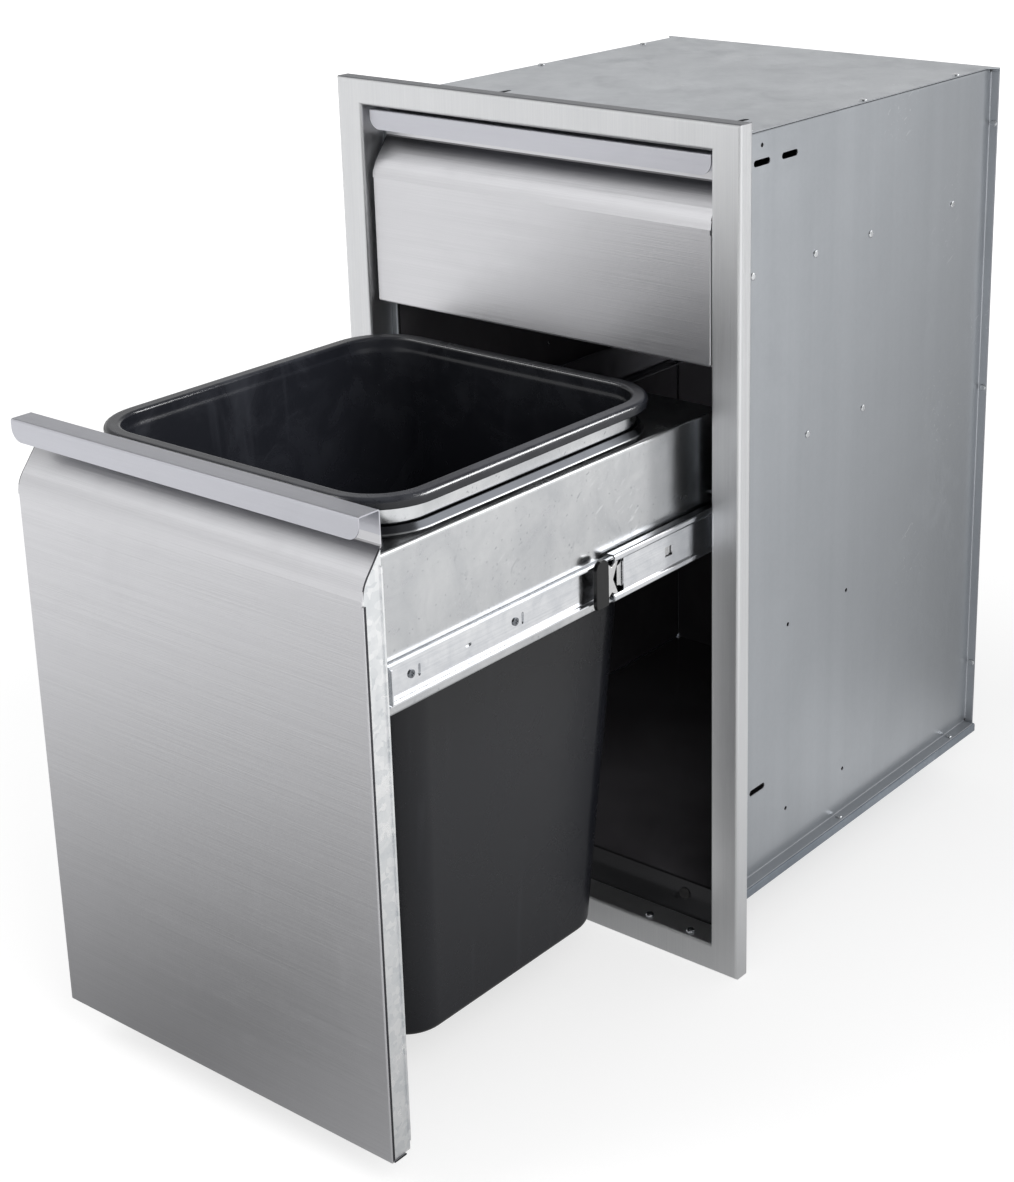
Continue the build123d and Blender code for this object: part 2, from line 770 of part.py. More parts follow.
def slide_set(name, centre, out):
    """Both slides of one drawer, with the moving members pulled out by out."""
    outer_web = middle_ridge - slide_sheet / 2 - cage_gap - cage_sheet / 2
    inner_web = middle_web + slide_sheet / 2 + 0.6 + cage_sheet / 2
    outer_start = slide_front + outer_cage_start
    inner_start = slide_front + inner_cage_start

    channel = slide_channel(centre)
    if name == "drawer":
        for y in slide_rivet_y:
            channel -= hole("x", (y, centre), box_inside - 2, box_inside + 1)
    middle = moved(slide_middle(centre), out / 2)
    guide = moved(slide_guide(centre), out / 2)
    runner = moved(slide_runner(centre), out)
    outer_cage = moved(slide_cage(centre, outer_race, outer_web, 7.5, outer_ball_u,
                                  outer_start), out / 4)
    inner_cage = moved(slide_cage(centre, inner_race, inner_web, 9.3, inner_ball_u,
                                  inner_start), out * 3 / 4)
    outer_balls = [moved(b, out / 4)
                   for b in slide_balls(centre, outer_race, outer_ball_u, outer_start)]
    inner_balls = [moved(b, out * 3 / 4)
                   for b in slide_balls(centre, inner_race, inner_ball_u, inner_start)]
    screws = [moved(flat_screw(y, centre), out) for y in runner_screw_y]

    for side, flip in (("right", False), ("left", True)):
        place = mirrored if flip else (lambda shape: shape)
        parts[f"{name}_slide_channel_{side}"] = place(channel)
        parts[f"{name}_slide_middle_{side}"] = place(middle)
        parts[f"{name}_slide_runner_{side}"] = place(runner)
    both = lambda shapes: solids_of(list(shapes) + [mirrored(s) for s in shapes])
    parts[f"{name}_slide_guides"] = both([guide])
    parts[f"{name}_outer_cages"] = both([outer_cage])
    parts[f"{name}_inner_cages"] = both([inner_cage])
    parts[f"{name}_outer_balls"] = both(outer_balls)
    parts[f"{name}_inner_balls"] = both(inner_balls)
    parts[f"{name}_runner_screws"] = both(screws)


def slide_rivets():
    """Rivets that hold the drawer's channels to the cabinet's sides."""
    rivets = []
    for side in (-1, 1):
        for y in slide_rivet_y:
            low, high = sorted((side * (box_inside - slide_sheet), side * box_half))
            rivets.append(rivet("x", (y, drawer_slide_height), low, high, side))
    parts["slide_rivets"] = solids_of(rivets)


# ---------------------------------------------------------------- pull-out
def rounded(half_width, half_depth, radius):
    return RectangleRounded(2 * half_width, 2 * half_depth, radius)


def collar(gap):
    """What fills the tray's hole out to this far from the bin, with its edge raised."""
    levels = []
    for height, spread in ((tray_top - tray_sheet, collar_run), (tray_top + collar_rise, 0)):
        out = gap + spread
        outline = rounded(bin_half + out, bin_half_depth + out, bin_corner + out)
        levels.append(Plane.XY.offset(height) * outline)
    return Pos(0, bin_middle, 0) * loft(levels)


def tray_pieces():
    """The steel tray that hangs between the slides, and its two cross walls.

    The hole for the bin has a raised edge, and a ring with a flange stands in it."""
    half = tray_sheet / 2
    side = tray_half - half
    right = [(tray_half - tray_lip, tray_bottom + half), (side, tray_bottom + half),
             (side, tray_top - half)]
    left = [(-x, z) for x, z in reversed(right)]
    tray = along_y(bent(right + left, tray_sheet, tray_bend), front_rear, tray_back)
    gap = ring_gap + ring_sheet + collar_gap
    tray += collar(gap + collar_width)
    tray -= collar(gap)
    for y in runner_screw_y:
        at = (y, trash_slide_height)
        tray -= hole("x", at, tray_half - 3, tray_half + 1, screw_radius)
        tray -= hole("x", at, -tray_half - 1, -tray_half + 3, screw_radius)
    parts["bin_tray"] = moved(tray, pulled_out)

    inside = tray_half - tray_sheet
    wall_low = tray_bottom + tray_sheet
    wall_high = tray_top - tray_sheet
    front = block((-inside, inside), (front_rear, front_rear + tray_sheet),
                  (wall_low, wall_high))
    front &= along_y(Pos(0, (wall_low + wall_high) / 2)
                     * rounded(inside, (wall_high - wall_low) / 2, tray_bend),
                     front_rear, front_rear + tray_sheet)
    front = cut_door_screws(front, front_rear - 1, front_rear + 3)
    parts["tray_front_wall"] = moved(front, pulled_out)
    back = block((-inside, inside), (tray_back - tray_sheet, tray_back),
                 (wall_low, wall_high))
    back &= along_y(Pos(0, (wall_low + wall_high) / 2)
                    * rounded(inside, (wall_high - wall_low) / 2, tray_bend),
                    tray_back - tray_sheet, tray_back)
    parts["tray_back_wall"] = moved(back, pulled_out)

    ring_inside = (bin_half + ring_gap, bin_half_depth + ring_gap, bin_corner + ring_gap)
    ring_outside = tuple(v + ring_sheet for v in ring_inside)
    flange = tuple(v + ring_flange for v in ring_inside)
    seat = tray_top - tray_sheet
    ring = along_z(rounded(*ring_outside), seat - ring_sheet,
                   rim_top - bin_wall - rest_gap)
    ring += along_z(rounded(*flange), seat - ring_sheet, seat)
    ring -= along_z(rounded(*ring_inside), seat - ring_sheet - 1, rim_top)
    parts["bin_ring"] = moved(Pos(0, bin_middle, 0) * ring, pulled_out)


def door_and_screws():
    """The pull-out's front, and the screws that hold it to the tray."""
    parts["trash_door_skin"] = moved(front_skin(door_top, door_height), pulled_out)
    pan = cut_door_screws(front_pan(door_top, door_height), front_rear - 3, front_rear + 1)
    parts["trash_door_pan"] = moved(pan, pulled_out)
    screws = [pan_screw("y", at, front_rear + tray_sheet, -1)
              for at in door_screw_places()]
    parts["trash_door_screws"] = moved(solids_of(screws), pulled_out)


def bin_shell(top, bottom, wall):
    """The bin's tapered body, drawn in by wall all round."""
    height = top - bottom
    upper = rounded(bin_half - wall, bin_half_depth - wall, bin_corner - wall)
    lower = rounded(bin_half - bin_taper - wall, bin_half_depth - bin_taper_depth - wall,
                    bin_foot_corner - wall)
    return loft([Plane.XY.offset(top) * upper, Plane.XY.offset(top - height) * lower])


def trash_bin():
    """A tapered plastic bin with a broad rim turned down at its edge."""
    body = bin_shell(rim_top, bin_bottom, 0.0)
    foot = body.edges().filter_by(lambda e: near(e.center().Z, bin_bottom))
    body = fillet(foot, bin_foot_radius)
    rim = along_z(rounded(rim_half, rim_depth / 2, rim_corner), rim_top - rim_drop,
                  rim_top)
    crown = rim.edges().filter_by(lambda e: near(e.center().Z, rim_top))
    rim = fillet(crown, bin_wall)
    under = rounded(rim_half - bin_wall, rim_depth / 2 - bin_wall, rim_corner - bin_wall)
    rim -= along_z(under, rim_top - rim_drop, rim_top - bin_wall)
    hollow = bin_shell(rim_top, bin_bottom + bin_wall, bin_wall)
    corner = hollow.edges().filter_by(lambda e: near(e.center().Z, bin_bottom + bin_wall))
    hollow = fillet(corner, bin_foot_radius - bin_wall)
    shape = (body + rim) - hollow
    mouth = shape.edges().filter_by(lambda e: near(e.center().Z, rim_top) and all(
        abs(v.X) < bin_half and abs(v.Y) < bin_half_depth for v in e.vertices()))
    shape = fillet(mouth, rim_inner_radius)
    parts["bin"] = moved(Pos(0, bin_middle, 0) * shape, pulled_out)


# ---------------------------------------------------------------- drawer
def drawer_pieces():
    """The upper drawer: front, pan, folded box and two end walls."""
    parts["drawer_front_skin"] = front_skin(drawer_top, drawer_front_height)
    pan = front_pan(drawer_top, drawer_front_height)
    for at in drawer_screw_places():
        pan -= hole("y", at, front_rear - 3, front_rear + 1, screw_radius)
    parts["drawer_front_pan"] = pan

    half = drawer_sheet / 2
    side = tray_half - half
    low = drawer_bottom + drawer_box_rise + half
    high = drawer_bottom + drawer_box_rise + drawer_box_height - half
    back = front_rear + slide_length - drawer_box_short
    right = [(side, low), (side, high), (side - drawer_hem, high)]
    left = [(-x, z) for x, z in reversed(right)]
    box = along_y(bent(left + right, drawer_sheet, 1.6), front_rear, back)
    for y in runner_screw_y:
        at = (y, drawer_slide_height)
        box -= hole("x", at, tray_half - 3, tray_half + 1, screw_radius)
        box -= hole("x", at, -tray_half - 1, -tray_half + 3, screw_radius)
    parts["drawer_box"] = box

    inside = tray_half - drawer_sheet
    wall_low, wall_high = low + half, high - half
    outline = Pos(0, (wall_low + wall_high) / 2) * rounded(
        inside, (wall_high - wall_low) / 2, 1.6)
    front = along_y(outline, front_rear, front_rear + drawer_sheet)
    for at in drawer_screw_places():
        front -= hole("y", at, front_rear - 1, front_rear + 3, screw_radius)
    parts["drawer_box_front"] = front
    parts["drawer_box_back"] = along_y(outline, back - drawer_sheet, back)
    parts["drawer_front_screws"] = solids_of(
        [pan_screw("y", at, front_rear + drawer_sheet, -1) for at in drawer_screw_places()])


# ---------------------------------------------------------------- build and write
face_frame()
sill_screws()
box_panels()
box_rivets()
door_bumpers()
slide_set("trash", trash_slide_height, pulled_out)
slide_set("drawer", drawer_slide_height, 0.0)
slide_rivets()
tray_pieces()
door_and_screws()
trash_bin()
drawer_pieces()

os.makedirs("parts", exist_ok=True)
for name, shape in parts.items():
    export_step(shape, f"parts/{name}.step")
print("nodes", len(parts))
print("travel", round(slide_travel, 2), "pulled out", round(pulled_out, 2))
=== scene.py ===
# %% [markdown]
# # A pull-out waste cabinet, dressed in steel and plastic
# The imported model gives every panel, slide and screw in its place, in metres. This script
# keeps those shapes, gives each one a finish that is worked out by shader nodes, makes the
# moulded bin and a few slide details anew, and adds the studio: a pale floor, soft lamps
# and a camera at the photograph's viewing angle.

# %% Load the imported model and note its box
import math

import bpy
import bmesh
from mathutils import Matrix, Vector


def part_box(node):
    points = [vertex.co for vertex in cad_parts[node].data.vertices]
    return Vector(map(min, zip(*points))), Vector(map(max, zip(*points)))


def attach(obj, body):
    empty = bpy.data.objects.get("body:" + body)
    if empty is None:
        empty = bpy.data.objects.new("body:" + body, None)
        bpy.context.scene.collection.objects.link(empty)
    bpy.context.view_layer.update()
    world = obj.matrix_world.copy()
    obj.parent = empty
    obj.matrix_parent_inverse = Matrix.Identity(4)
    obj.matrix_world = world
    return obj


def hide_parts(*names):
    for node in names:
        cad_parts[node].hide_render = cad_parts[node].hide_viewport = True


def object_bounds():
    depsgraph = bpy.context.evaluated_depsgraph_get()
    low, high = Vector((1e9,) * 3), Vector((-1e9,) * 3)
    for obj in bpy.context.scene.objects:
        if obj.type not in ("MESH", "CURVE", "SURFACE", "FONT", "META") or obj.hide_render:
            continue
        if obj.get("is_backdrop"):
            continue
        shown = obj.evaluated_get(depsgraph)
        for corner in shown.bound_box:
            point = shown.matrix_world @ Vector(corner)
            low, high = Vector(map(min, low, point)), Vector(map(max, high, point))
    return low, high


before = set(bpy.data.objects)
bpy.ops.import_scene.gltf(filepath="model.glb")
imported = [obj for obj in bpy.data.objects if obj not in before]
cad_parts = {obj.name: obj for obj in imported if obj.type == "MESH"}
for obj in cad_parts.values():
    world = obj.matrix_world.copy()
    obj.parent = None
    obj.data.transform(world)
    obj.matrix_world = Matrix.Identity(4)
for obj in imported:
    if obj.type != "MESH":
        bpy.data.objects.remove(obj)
cad_low, cad_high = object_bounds()
print("nodes", len(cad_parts), "box", [round(v, 4) for v in (*cad_low, *cad_high)])

# %% [markdown]
# ## The camera
# The photograph was taken from the right and from above, and its upright edges hardly
# lean, which a shifted lens does. Only part of that shift is used, since it stays on when
# the camera is moved.

# %% Place the camera
CAMERA_PLACE = (1.0707, -1.2801, 0.6313)
TURN_LEFT = 37.4755
LOOK_DOWN = 18.2494
ROLL = 0.67
SENSOR_WIDTH = 36
LENS = 66.06
SHIFT_X = -0.100
SHIFT_Y = -0.140

camera_data = bpy.data.cameras.new("camera")
camera = bpy.data.objects.new("camera", camera_data)
bpy.context.scene.collection.objects.link(camera)
camera_data.sensor_width = SENSOR_WIDTH
camera_data.lens = LENS
camera_data.shift_x = SHIFT_X
camera_data.shift_y = SHIFT_Y
camera.location = CAMERA_PLACE
camera.rotation_euler = (math.radians(90 - LOOK_DOWN), math.radians(ROLL),
                         math.radians(TURN_LEFT))
bpy.context.scene.camera = camera
print("camera", [round(v, 3) for v in camera.location], "lens", LENS)

# %% [markdown]
# ## Helpers for shader nodes
# Every finish below is a small tree of nodes. A few helpers keep those trees readable. The
# first adds a node and links or sets its inputs. The others are the nodes that come up
# again and again: arithmetic, a change of range, a mix of two colours, a colour written as
# the eye reads it, from 0 to 255, a soft noise, and a pattern stretched along an axis.


# %% Add a node
def node(tree, kind, inputs=None, **settings):
    """Add a shader node. An input that is a socket is linked, anything else is its value."""
    made = tree.nodes.new("ShaderNode" + kind)
    for name, value in settings.items():
        setattr(made, name, value)
    for name, value in (inputs or {}).items():
        if isinstance(value, bpy.types.NodeSocket):
            tree.links.new(value, made.inputs[name])
        else:
            made.inputs[name].default_value = value
    return made


# %% Arithmetic, ranges, mixes and noise
def maths(tree, operation, first, second=0.0):
    return node(tree, "Math", {0: first, 1: second}, operation=operation).outputs[0]


def ranged(tree, value, low, high, to_low=0.0, to_high=1.0):
    """Carry low..high over to to_low..to_high, and stop at the ends."""
    return node(tree, "MapRange", {"Value": value, "From Min": low, "From Max": high,
                                   "To Min": to_low, "To Max": to_high}).outputs["Result"]


def mixed(tree, amount, first, second):
    return node(tree, "Mix", {0: amount, 6: first, 7: second}, data_type="RGBA").outputs[2]


def paint(red, green, blue):
    """A colour written from 0 to 255, as it should look on the screen."""
    def straight(v):
        v /= 255
        return v / 12.92 if v <= 0.04045 else ((v + 0.055) / 1.055) ** 2.4
    return (straight(red), straight(green), straight(blue), 1.0)


def clouds(tree, place, scale, detail=2.0, rough=0.5, warp=0.0):
    """A soft noise from 0 to 1, centred on 0.5."""
    return node(tree, "TexNoise", {"Vector": place, "Scale": scale, "Detail": detail,
                                   "Roughness": rough, "Distortion": warp}).outputs["Fac"]


def stretched(tree, place, by):
    return node(tree, "VectorMath", {0: place, 1: by}, operation="MULTIPLY").outputs[0]


def turned(tree, place, angles):
    return node(tree, "Mapping", {"Vector": place, "Rotation": angles}).outputs[0]


print("a middle grey of 128 is", round(paint(128, 128, 128)[0], 3), "as light")


# %% [markdown]
# ### Masks from a place
# Some tints belong to one part of a piece, such as a lip or a cut edge. A mask says where:
# it is 1 inside and 0 outside, worked out from the place on the piece in metres, so it
# stays on the piece in every view and at every pose. Masks are joined by multiplying them.

# %% Over, under, and the product
def over(tree, value, limit):
    return maths(tree, "GREATER_THAN", value, limit)


def under(tree, value, limit):
    return maths(tree, "LESS_THAN", value, limit)


def product(tree, first, *others):
    """Multiply. The product of masks is 1 only where all of them are."""
    for other in others:
        first = maths(tree, "MULTIPLY", first, other)
    return first


def axes_of(tree, place):
    return node(tree, "SeparateXYZ", {0: place}).outputs


SIDE_LOW, SIDE_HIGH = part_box("side_panel_right")
FLOOR_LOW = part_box("bottom_panel")[0]
BACK_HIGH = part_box("back_panel")[1]
BIN_LOW, BIN_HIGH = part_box("bin")
print("side panel", [round(v * 1000, 2) for v in (*SIDE_LOW, *SIDE_HIGH)], "mm")
print("bin", [round(v * 1000, 2) for v in (*BIN_LOW, *BIN_HIGH)], "mm")

# %% [markdown]
# ## Effects that several finishes share
# An effect that more than one finish uses is a node group, built once, and each finish
# sets its own values on it. A group has named sockets, so it reads like one node.


# %% Start a node group, and use one
def new_effect(name, inputs, outputs):
    """Give the group's tree, what comes in and what goes out."""
    tree = bpy.data.node_groups.new(name, "ShaderNodeTree")
    for label, kind, value in inputs:
        socket = tree.interface.new_socket(name=label, in_out="INPUT",
                                           socket_type="NodeSocket" + kind)
        if value is not None:
            socket.default_value = value
    for label in outputs:
        tree.interface.new_socket(name=label, in_out="OUTPUT",
                                  socket_type="NodeSocketFloat")
    print("group", name, "gives", outputs)
    return (tree, tree.nodes.new("NodeGroupInput").outputs,
            tree.nodes.new("NodeGroupOutput").inputs)


def effect(tree, group, inputs):
    return node(tree, "Group", inputs, node_tree=group).outputs


# %% [markdown]
# ### Brushing
# Brushed sheet has thousands of fine parallel lines, and broader streaks where the belt
# pressed harder. A noise that is stretched along the brushing gives both: the Stretch input
# says how often it changes in a metre along x, y and z.

# %% Brushed lines and streaks
BROADER = (0.5, 0.13, 0.13)

brushing, given, gives = new_effect(
    "brushing", [("Place", "Vector", None), ("Stretch", "Vector", (5, 600, 600))],
    ["Lines", "Streaks"])
fine = stretched(brushing, given["Place"], given["Stretch"])
broad = stretched(brushing, fine, BROADER)
lines = ranged(brushing, clouds(brushing, fine, 1.0, 3.0, 0.7), 0.3, 0.7)
streaks = ranged(brushing, clouds(brushing, broad, 1.0, 2.0), 0.25, 0.75)
brushing.links.new(lines, gives["Lines"])
brushing.links.new(streaks, gives["Streaks"])

# %% [markdown]
# ### Zinc bloom
# Hot zinc freezes on sheet as flat crystals a few millimetres across, and stains into soft
# clouds as it ages. A cell pattern with one random tone in each cell gives the crystals,
# and a noise gives the clouds. The cells' straight borders are bent a little by a second
# noise, because crystals that grow into each other have no ruled edges.

# %% Crystals and clouds of zinc
BORDER_NOISE = 120.0
BORDER_BEND = 0.008

bloom, given, gives = new_effect(
    "zinc bloom", [("Place", "Vector", None), ("Crystals", "Float", 250.0),
                   ("Stains", "Float", 14.0)], ["Crystals", "Stains"])
bend = node(bloom, "TexNoise", {"Vector": given["Place"], "Scale": BORDER_NOISE})
bend = node(bloom, "VectorMath", {0: bend.outputs["Color"], "Scale": BORDER_BEND},
            operation="SCALE").outputs[0]
bent = node(bloom, "VectorMath", {0: given["Place"], 1: bend}).outputs[0]
cells = node(bloom, "TexVoronoi", {"Vector": bent, "Scale": given["Crystals"]})
tone = node(bloom, "SeparateColor", {0: cells.outputs["Color"]}).outputs[0]
stains = clouds(bloom, given["Place"], given["Stains"], 5.0, 0.6, 0.6)
bloom.links.new(tone, gives["Crystals"])
bloom.links.new(ranged(bloom, stains, 0.3, 0.7), gives["Stains"])

# %% [markdown]
# ### Handling marks
# Sheet that has been carried and stacked has a few long hairline scratches and some rubbed
# patches. The scratches are a very stretched noise of which only the peaks are kept, in two
# directions that cross, and a second noise leaves them in some places only. The lower Few
# is, the more places have them.

# %% Hairline scratches and rubbed patches
handling, given, gives = new_effect(
    "handling marks", [("Place", "Vector", None), ("Few", "Float", 0.55)],
    ["Scratches", "Rubbed"])
slanting = turned(handling, given["Place"], (0.5, 0.42, 0.6))
hairs = clouds(handling, stretched(handling, slanting, (5, 420, 420)), 1.0, 1.0)
crossing = turned(handling, given["Place"], (-0.9, 1.1, -0.4))
crossing = clouds(handling, stretched(handling, crossing, (350, 7, 350)), 1.0, 1.0)
scratches = maths(handling, "MAXIMUM", ranged(handling, hairs, 0.68, 0.74),
                  ranged(handling, crossing, 0.70, 0.76))
where = ranged(handling, clouds(handling, given["Place"], 9.0, 2.0), given["Few"], 0.75)
rubbed = clouds(handling, given["Place"], 22.0, 4.0, 0.65, 1.2)
handling.links.new(maths(handling, "MULTIPLY", scratches, where), gives["Scratches"])
handling.links.new(ranged(handling, rubbed, 0.52, 0.78), gives["Rubbed"])

# %% [markdown]
# ### Inside the box
# Looked at from the front, the inside of the box lies in shade: nearly black and glossy,
# while the outside is pale zinc. That darkness is painted shade. A sheet has no inner and
# outer material of its own, so a mask tells its two faces apart: its borders lie in the
# middle of the sheets' thickness. Over the sill at the front the mask reaches further down,
# to the frame's opening.

# %% A mask for the inner faces of the box
HALF_SHEET = 0.0005
INNER_HALF_WIDTH = 0.1702
INNER_TOP = 0.3323
INNER_FOOT = -0.2951
SILL_BACK = SIDE_LOW.y + 0.003

inside, given, gives = new_effect("inside the box", [("Place", "Vector", None)], ["Inside"])
x, y, z = axes_of(inside, given["Place"])
high_enough = maths(inside, "MAXIMUM", over(inside, z, INNER_FOOT),
                    under(inside, y, SILL_BACK))
room = product(inside, under(inside, maths(inside, "ABSOLUTE", x), INNER_HALF_WIDTH),
               under(inside, z, INNER_TOP), high_enough,
               under(inside, y, BACK_HIGH.y - HALF_SHEET))
inside.links.new(room, gives["Inside"])

# %% [markdown]
# ## Starting and completing a finish
# Each finish is a material with one Principled shader. What is the same all over is set on
# the shader itself, and only what changes over the surface comes from nodes: a colour, a
# roughness and a height that raises the surface a hair.

# %% A finish, from its start to its grain
finishes = {}


def new_finish(name, metallic, roughness, **constants):
    """Give the material's tree, its shader's sockets and the place on the piece."""
    material = bpy.data.materials.new(name)
    material.use_nodes = True
    tree = material.node_tree
    shader = tree.nodes["Principled BSDF"]
    shader.inputs["Metallic"].default_value = metallic
    shader.inputs["Roughness"].default_value = roughness
    for label, value in constants.items():
        shader.inputs[label.replace("_", " ")].default_value = value
    finishes[name] = material
    return tree, shader.inputs, node(tree, "TexCoord").outputs["Object"]


def complete(tree, sockets, colour, rough, height, depth, strength=1.0):
    """Link colour and roughness, and raise the surface by the height, depth at most."""
    tree.links.new(colour, sockets["Base Color"])
    tree.links.new(rough, sockets["Roughness"])
    bump = node(tree, "Bump", {"Height": height, "Distance": depth, "Strength": strength})
    tree.links.new(bump.outputs[0], sockets["Normal"])


# %% [markdown]
# ## Stainless steel
# The face frame is brushed up and down, the two fronts from side to side. Both are the same
# steel, so one function makes them, and the direction and how smooth they are differ. It
# gives its height in metres, so that folds can be added to it.

# %% Brushed stainless steel
STREAK_SHARE = 0.16
RUBBED_DULLS = 0.05


def brushed_stainless(name, stretch, dark, light, smooth, dull, depth):
    """Give tree, sockets, place, colour, roughness and height, all still to be linked."""
    tree, sockets, place = new_finish(name, 1.0, smooth)
    brushed = effect(tree, brushing, {"Place": place, "Stretch": stretch})
    marks = effect(tree, handling, {"Place": place, "Few": 0.62})
    colour = mixed(tree, brushed["Lines"], paint(*dark), paint(*light))
    uneven = ranged(tree, brushed["Streaks"], 0, 1, 0.0, STREAK_SHARE)
    colour = mixed(tree, uneven, colour, paint(*dark))
    height = maths(tree, "MULTIPLY", brushed["Lines"], depth)
    rough = ranged(tree, brushed["Streaks"], 0, 1, smooth, dull)
    rough = maths(tree, "ADD", rough,
                  maths(tree, "MULTIPLY", marks["Rubbed"], RUBBED_DULLS))
    return tree, sockets, place, colour, rough, height


# %% [markdown]
# ### The face frame
# The frame is a welded ring with a wide flat face. Its upper edge looks up at the ceiling
# and is darker and cooler than the face, so a mask at its very top paints that darker
# reflection into its colour: a painted reflection.

# %% The frame's finish
CEILING_REFLECTION_SHARE = 0.8

tree, sockets, place, colour, rough, height = brushed_stainless(
    "frame_stainless", stretch=(1300, 1300, 6), dark=(223, 224, 226),
    light=(231, 232, 233), smooth=0.42, dull=0.48, depth=0.000080)
# Painted reflection: the frame's top edge is tinted darker and cooler, as it mirrors the
# ceiling.
upper_edge = over(tree, axes_of(tree, place)[2], cad_high.z - HALF_SHEET)
colour = mixed(tree, maths(tree, "MULTIPLY", upper_edge, CEILING_REFLECTION_SHARE), colour,
               paint(128, 130, 136))
complete(tree, sockets, colour, rough, height, depth=1.0)
print("finish", "frame_stainless")

# %% [markdown]
# ### The two fronts
# Each front is folded from one sheet: a lip at the top, a finger channel under it, a slope
# and then the flat face. The lip gets a cool, darker tint as a painted reflection, the
# channel is darkened as painted shade, and a thin strip on the outer side returns is
# darkened as the painted shadow of the gap beside the pan. Where the slope meets the face
# the sheet is rolled, not creased: the height tilts the surface more and more towards the
# fold, so the light turns softly there. All of it is measured down from the front's upper
# edge.

# %% Lip reflection, channel shade, edge shadow and fold
LIP_HEIGHT = 0.0172
LIP_REFLECTION_SHARE = 0.75
CHANNEL_TOP = 0.0235
CHANNEL_DARKEST = 0.027
SLOPE_MIDDLE = 0.040
EDGE_SHADOW_TOP = 0.026
EDGE_SHADOW_WIDTH = 0.0006
EDGE_SHADOW_BEHIND = 0.0010
FOLD = 0.0568
FOLD_REACH = 0.013
FOLD_TILT = 0.20
MARGIN = 0.001


def dress_front(tree, place, colour, height, front, channel_shade_depth):
    """Paint one front's lip reflection, channel shade and edge shadow, and add its fold to
    the height.
    """
    low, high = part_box(front)
    x, y, z = axes_of(tree, place)
    down = maths(tree, "SUBTRACT", high.z, z)
    here = product(tree, over(tree, down, -MARGIN),
                   under(tree, down, high.z - low.z + MARGIN))
    # Painted reflection: a cool, darker tint on the lip.
    lip_reflection = product(tree, under(tree, down, LIP_HEIGHT), here, LIP_REFLECTION_SHARE)
    colour = mixed(tree, lip_reflection, colour, paint(196, 197, 205))
    # Painted shade: the finger channel under the lip is darkened.
    channel_shade = product(tree, here, over(tree, down, CHANNEL_TOP),
                      ranged(tree, down, CHANNEL_DARKEST, SLOPE_MIDDLE,
                             channel_shade_depth, 0.0))
    colour = mixed(tree, channel_shade, colour, paint(62, 62, 66))
    # Painted shadow: a thin dark strip on the outer side returns, the shadow in the gap
    # beside the pan.
    outer = over(tree, maths(tree, "ABSOLUTE", x), high.x - EDGE_SHADOW_WIDTH)
    edge_shadow = product(tree, outer, here, over(tree, y, low.y + EDGE_SHADOW_BEHIND),
                  over(tree, down, EDGE_SHADOW_TOP))
    colour = mixed(tree, edge_shadow, colour, paint(72, 72, 76))
    part = ranged(tree, down, FOLD - FOLD_REACH, FOLD, 1.0, 0.0)
    bend = maths(tree, "SUBTRACT", part, product(tree, 0.5, product(tree, part, part)))
    bend = product(tree, bend, -FOLD_TILT * FOLD_REACH, here)
    return colour, maths(tree, "ADD", height, bend)


# %% Both fronts in one finish
tree, sockets, place, colour, rough, height = brushed_stainless(
    "front_stainless", stretch=(6, 1300, 1300), dark=(214, 214, 217),
    light=(222, 222, 225), smooth=0.35, dull=0.40, depth=0.000050)
# The number with each front is how deep its painted channel shade is.
for front, channel_shade_depth in (("trash_door_skin", 0.40), ("drawer_front_skin", 0.80)):
    colour, height = dress_front(tree, place, colour, height, front, channel_shade_depth)
complete(tree, sockets, colour, rough, height, depth=1.0)
print("steel", list(finishes))

# %% [markdown]
# ## Galvanised sheet
# Five kinds of panel are galvanised: the pan behind a front is nearly white with crystals,
# the box is a blue-grey satin with soft upright bands from the rolling, its floor is darker,
# the tray is pale with smudges and scratches, and the drawer's box is dull. One function
# mixes crystals, stains and bands in the shares it is given, and the smoother a place is,
# the paler it is.

# %% Galvanised sheet of any kind
SCRATCH_COLOUR = paint(236, 237, 239)
RUBBED_DULLS_ZINC = 0.08


def galvanised(name, metallic, dark, light, smooth, dull, crystals, stains, few, bands,
               scratch, shares):
    """Give tree, sockets, place, colour, roughness and the bloom, all still to be linked."""
    tree, sockets, place = new_finish(name, metallic, smooth)
    zinc = effect(tree, bloom, {"Place": place, "Crystals": crystals, "Stains": stains})
    marks = effect(tree, handling, {"Place": place, "Few": few})
    rolled = effect(tree, brushing, {"Place": place, "Stretch": bands})
    tone = maths(tree, "ADD", maths(tree, "MULTIPLY", zinc["Crystals"], shares[0]),
                 maths(tree, "MULTIPLY", zinc["Stains"], shares[1]))
    tone = maths(tree, "ADD", tone, maths(tree, "MULTIPLY", rolled["Lines"], shares[2]))
    colour = mixed(tree, tone, paint(*dark), paint(*light))
    scratched = maths(tree, "MULTIPLY", marks["Scratches"], scratch)
    colour = mixed(tree, scratched, colour, SCRATCH_COLOUR)
    rough = ranged(tree, tone, 0.2, 0.8, dull, smooth)
    rough = maths(tree, "ADD", rough,
                  maths(tree, "MULTIPLY", marks["Rubbed"], RUBBED_DULLS_ZINC))
    return tree, sockets, place, colour, rough, zinc


# %% The pans behind the fronts, and the drawer's box
tree, sockets, place, colour, rough, zinc = galvanised(
    "pan_galvanised", metallic=0.8, dark=(214, 218, 221), light=(255, 255, 255),
    smooth=0.26, dull=0.42, crystals=210.0, stains=26.0, few=0.6, bands=(60, 60, 8),
    scratch=0.5, shares=(0.5, 0.35, 0.15))
complete(tree, sockets, colour, rough, zinc["Crystals"], depth=0.00003)

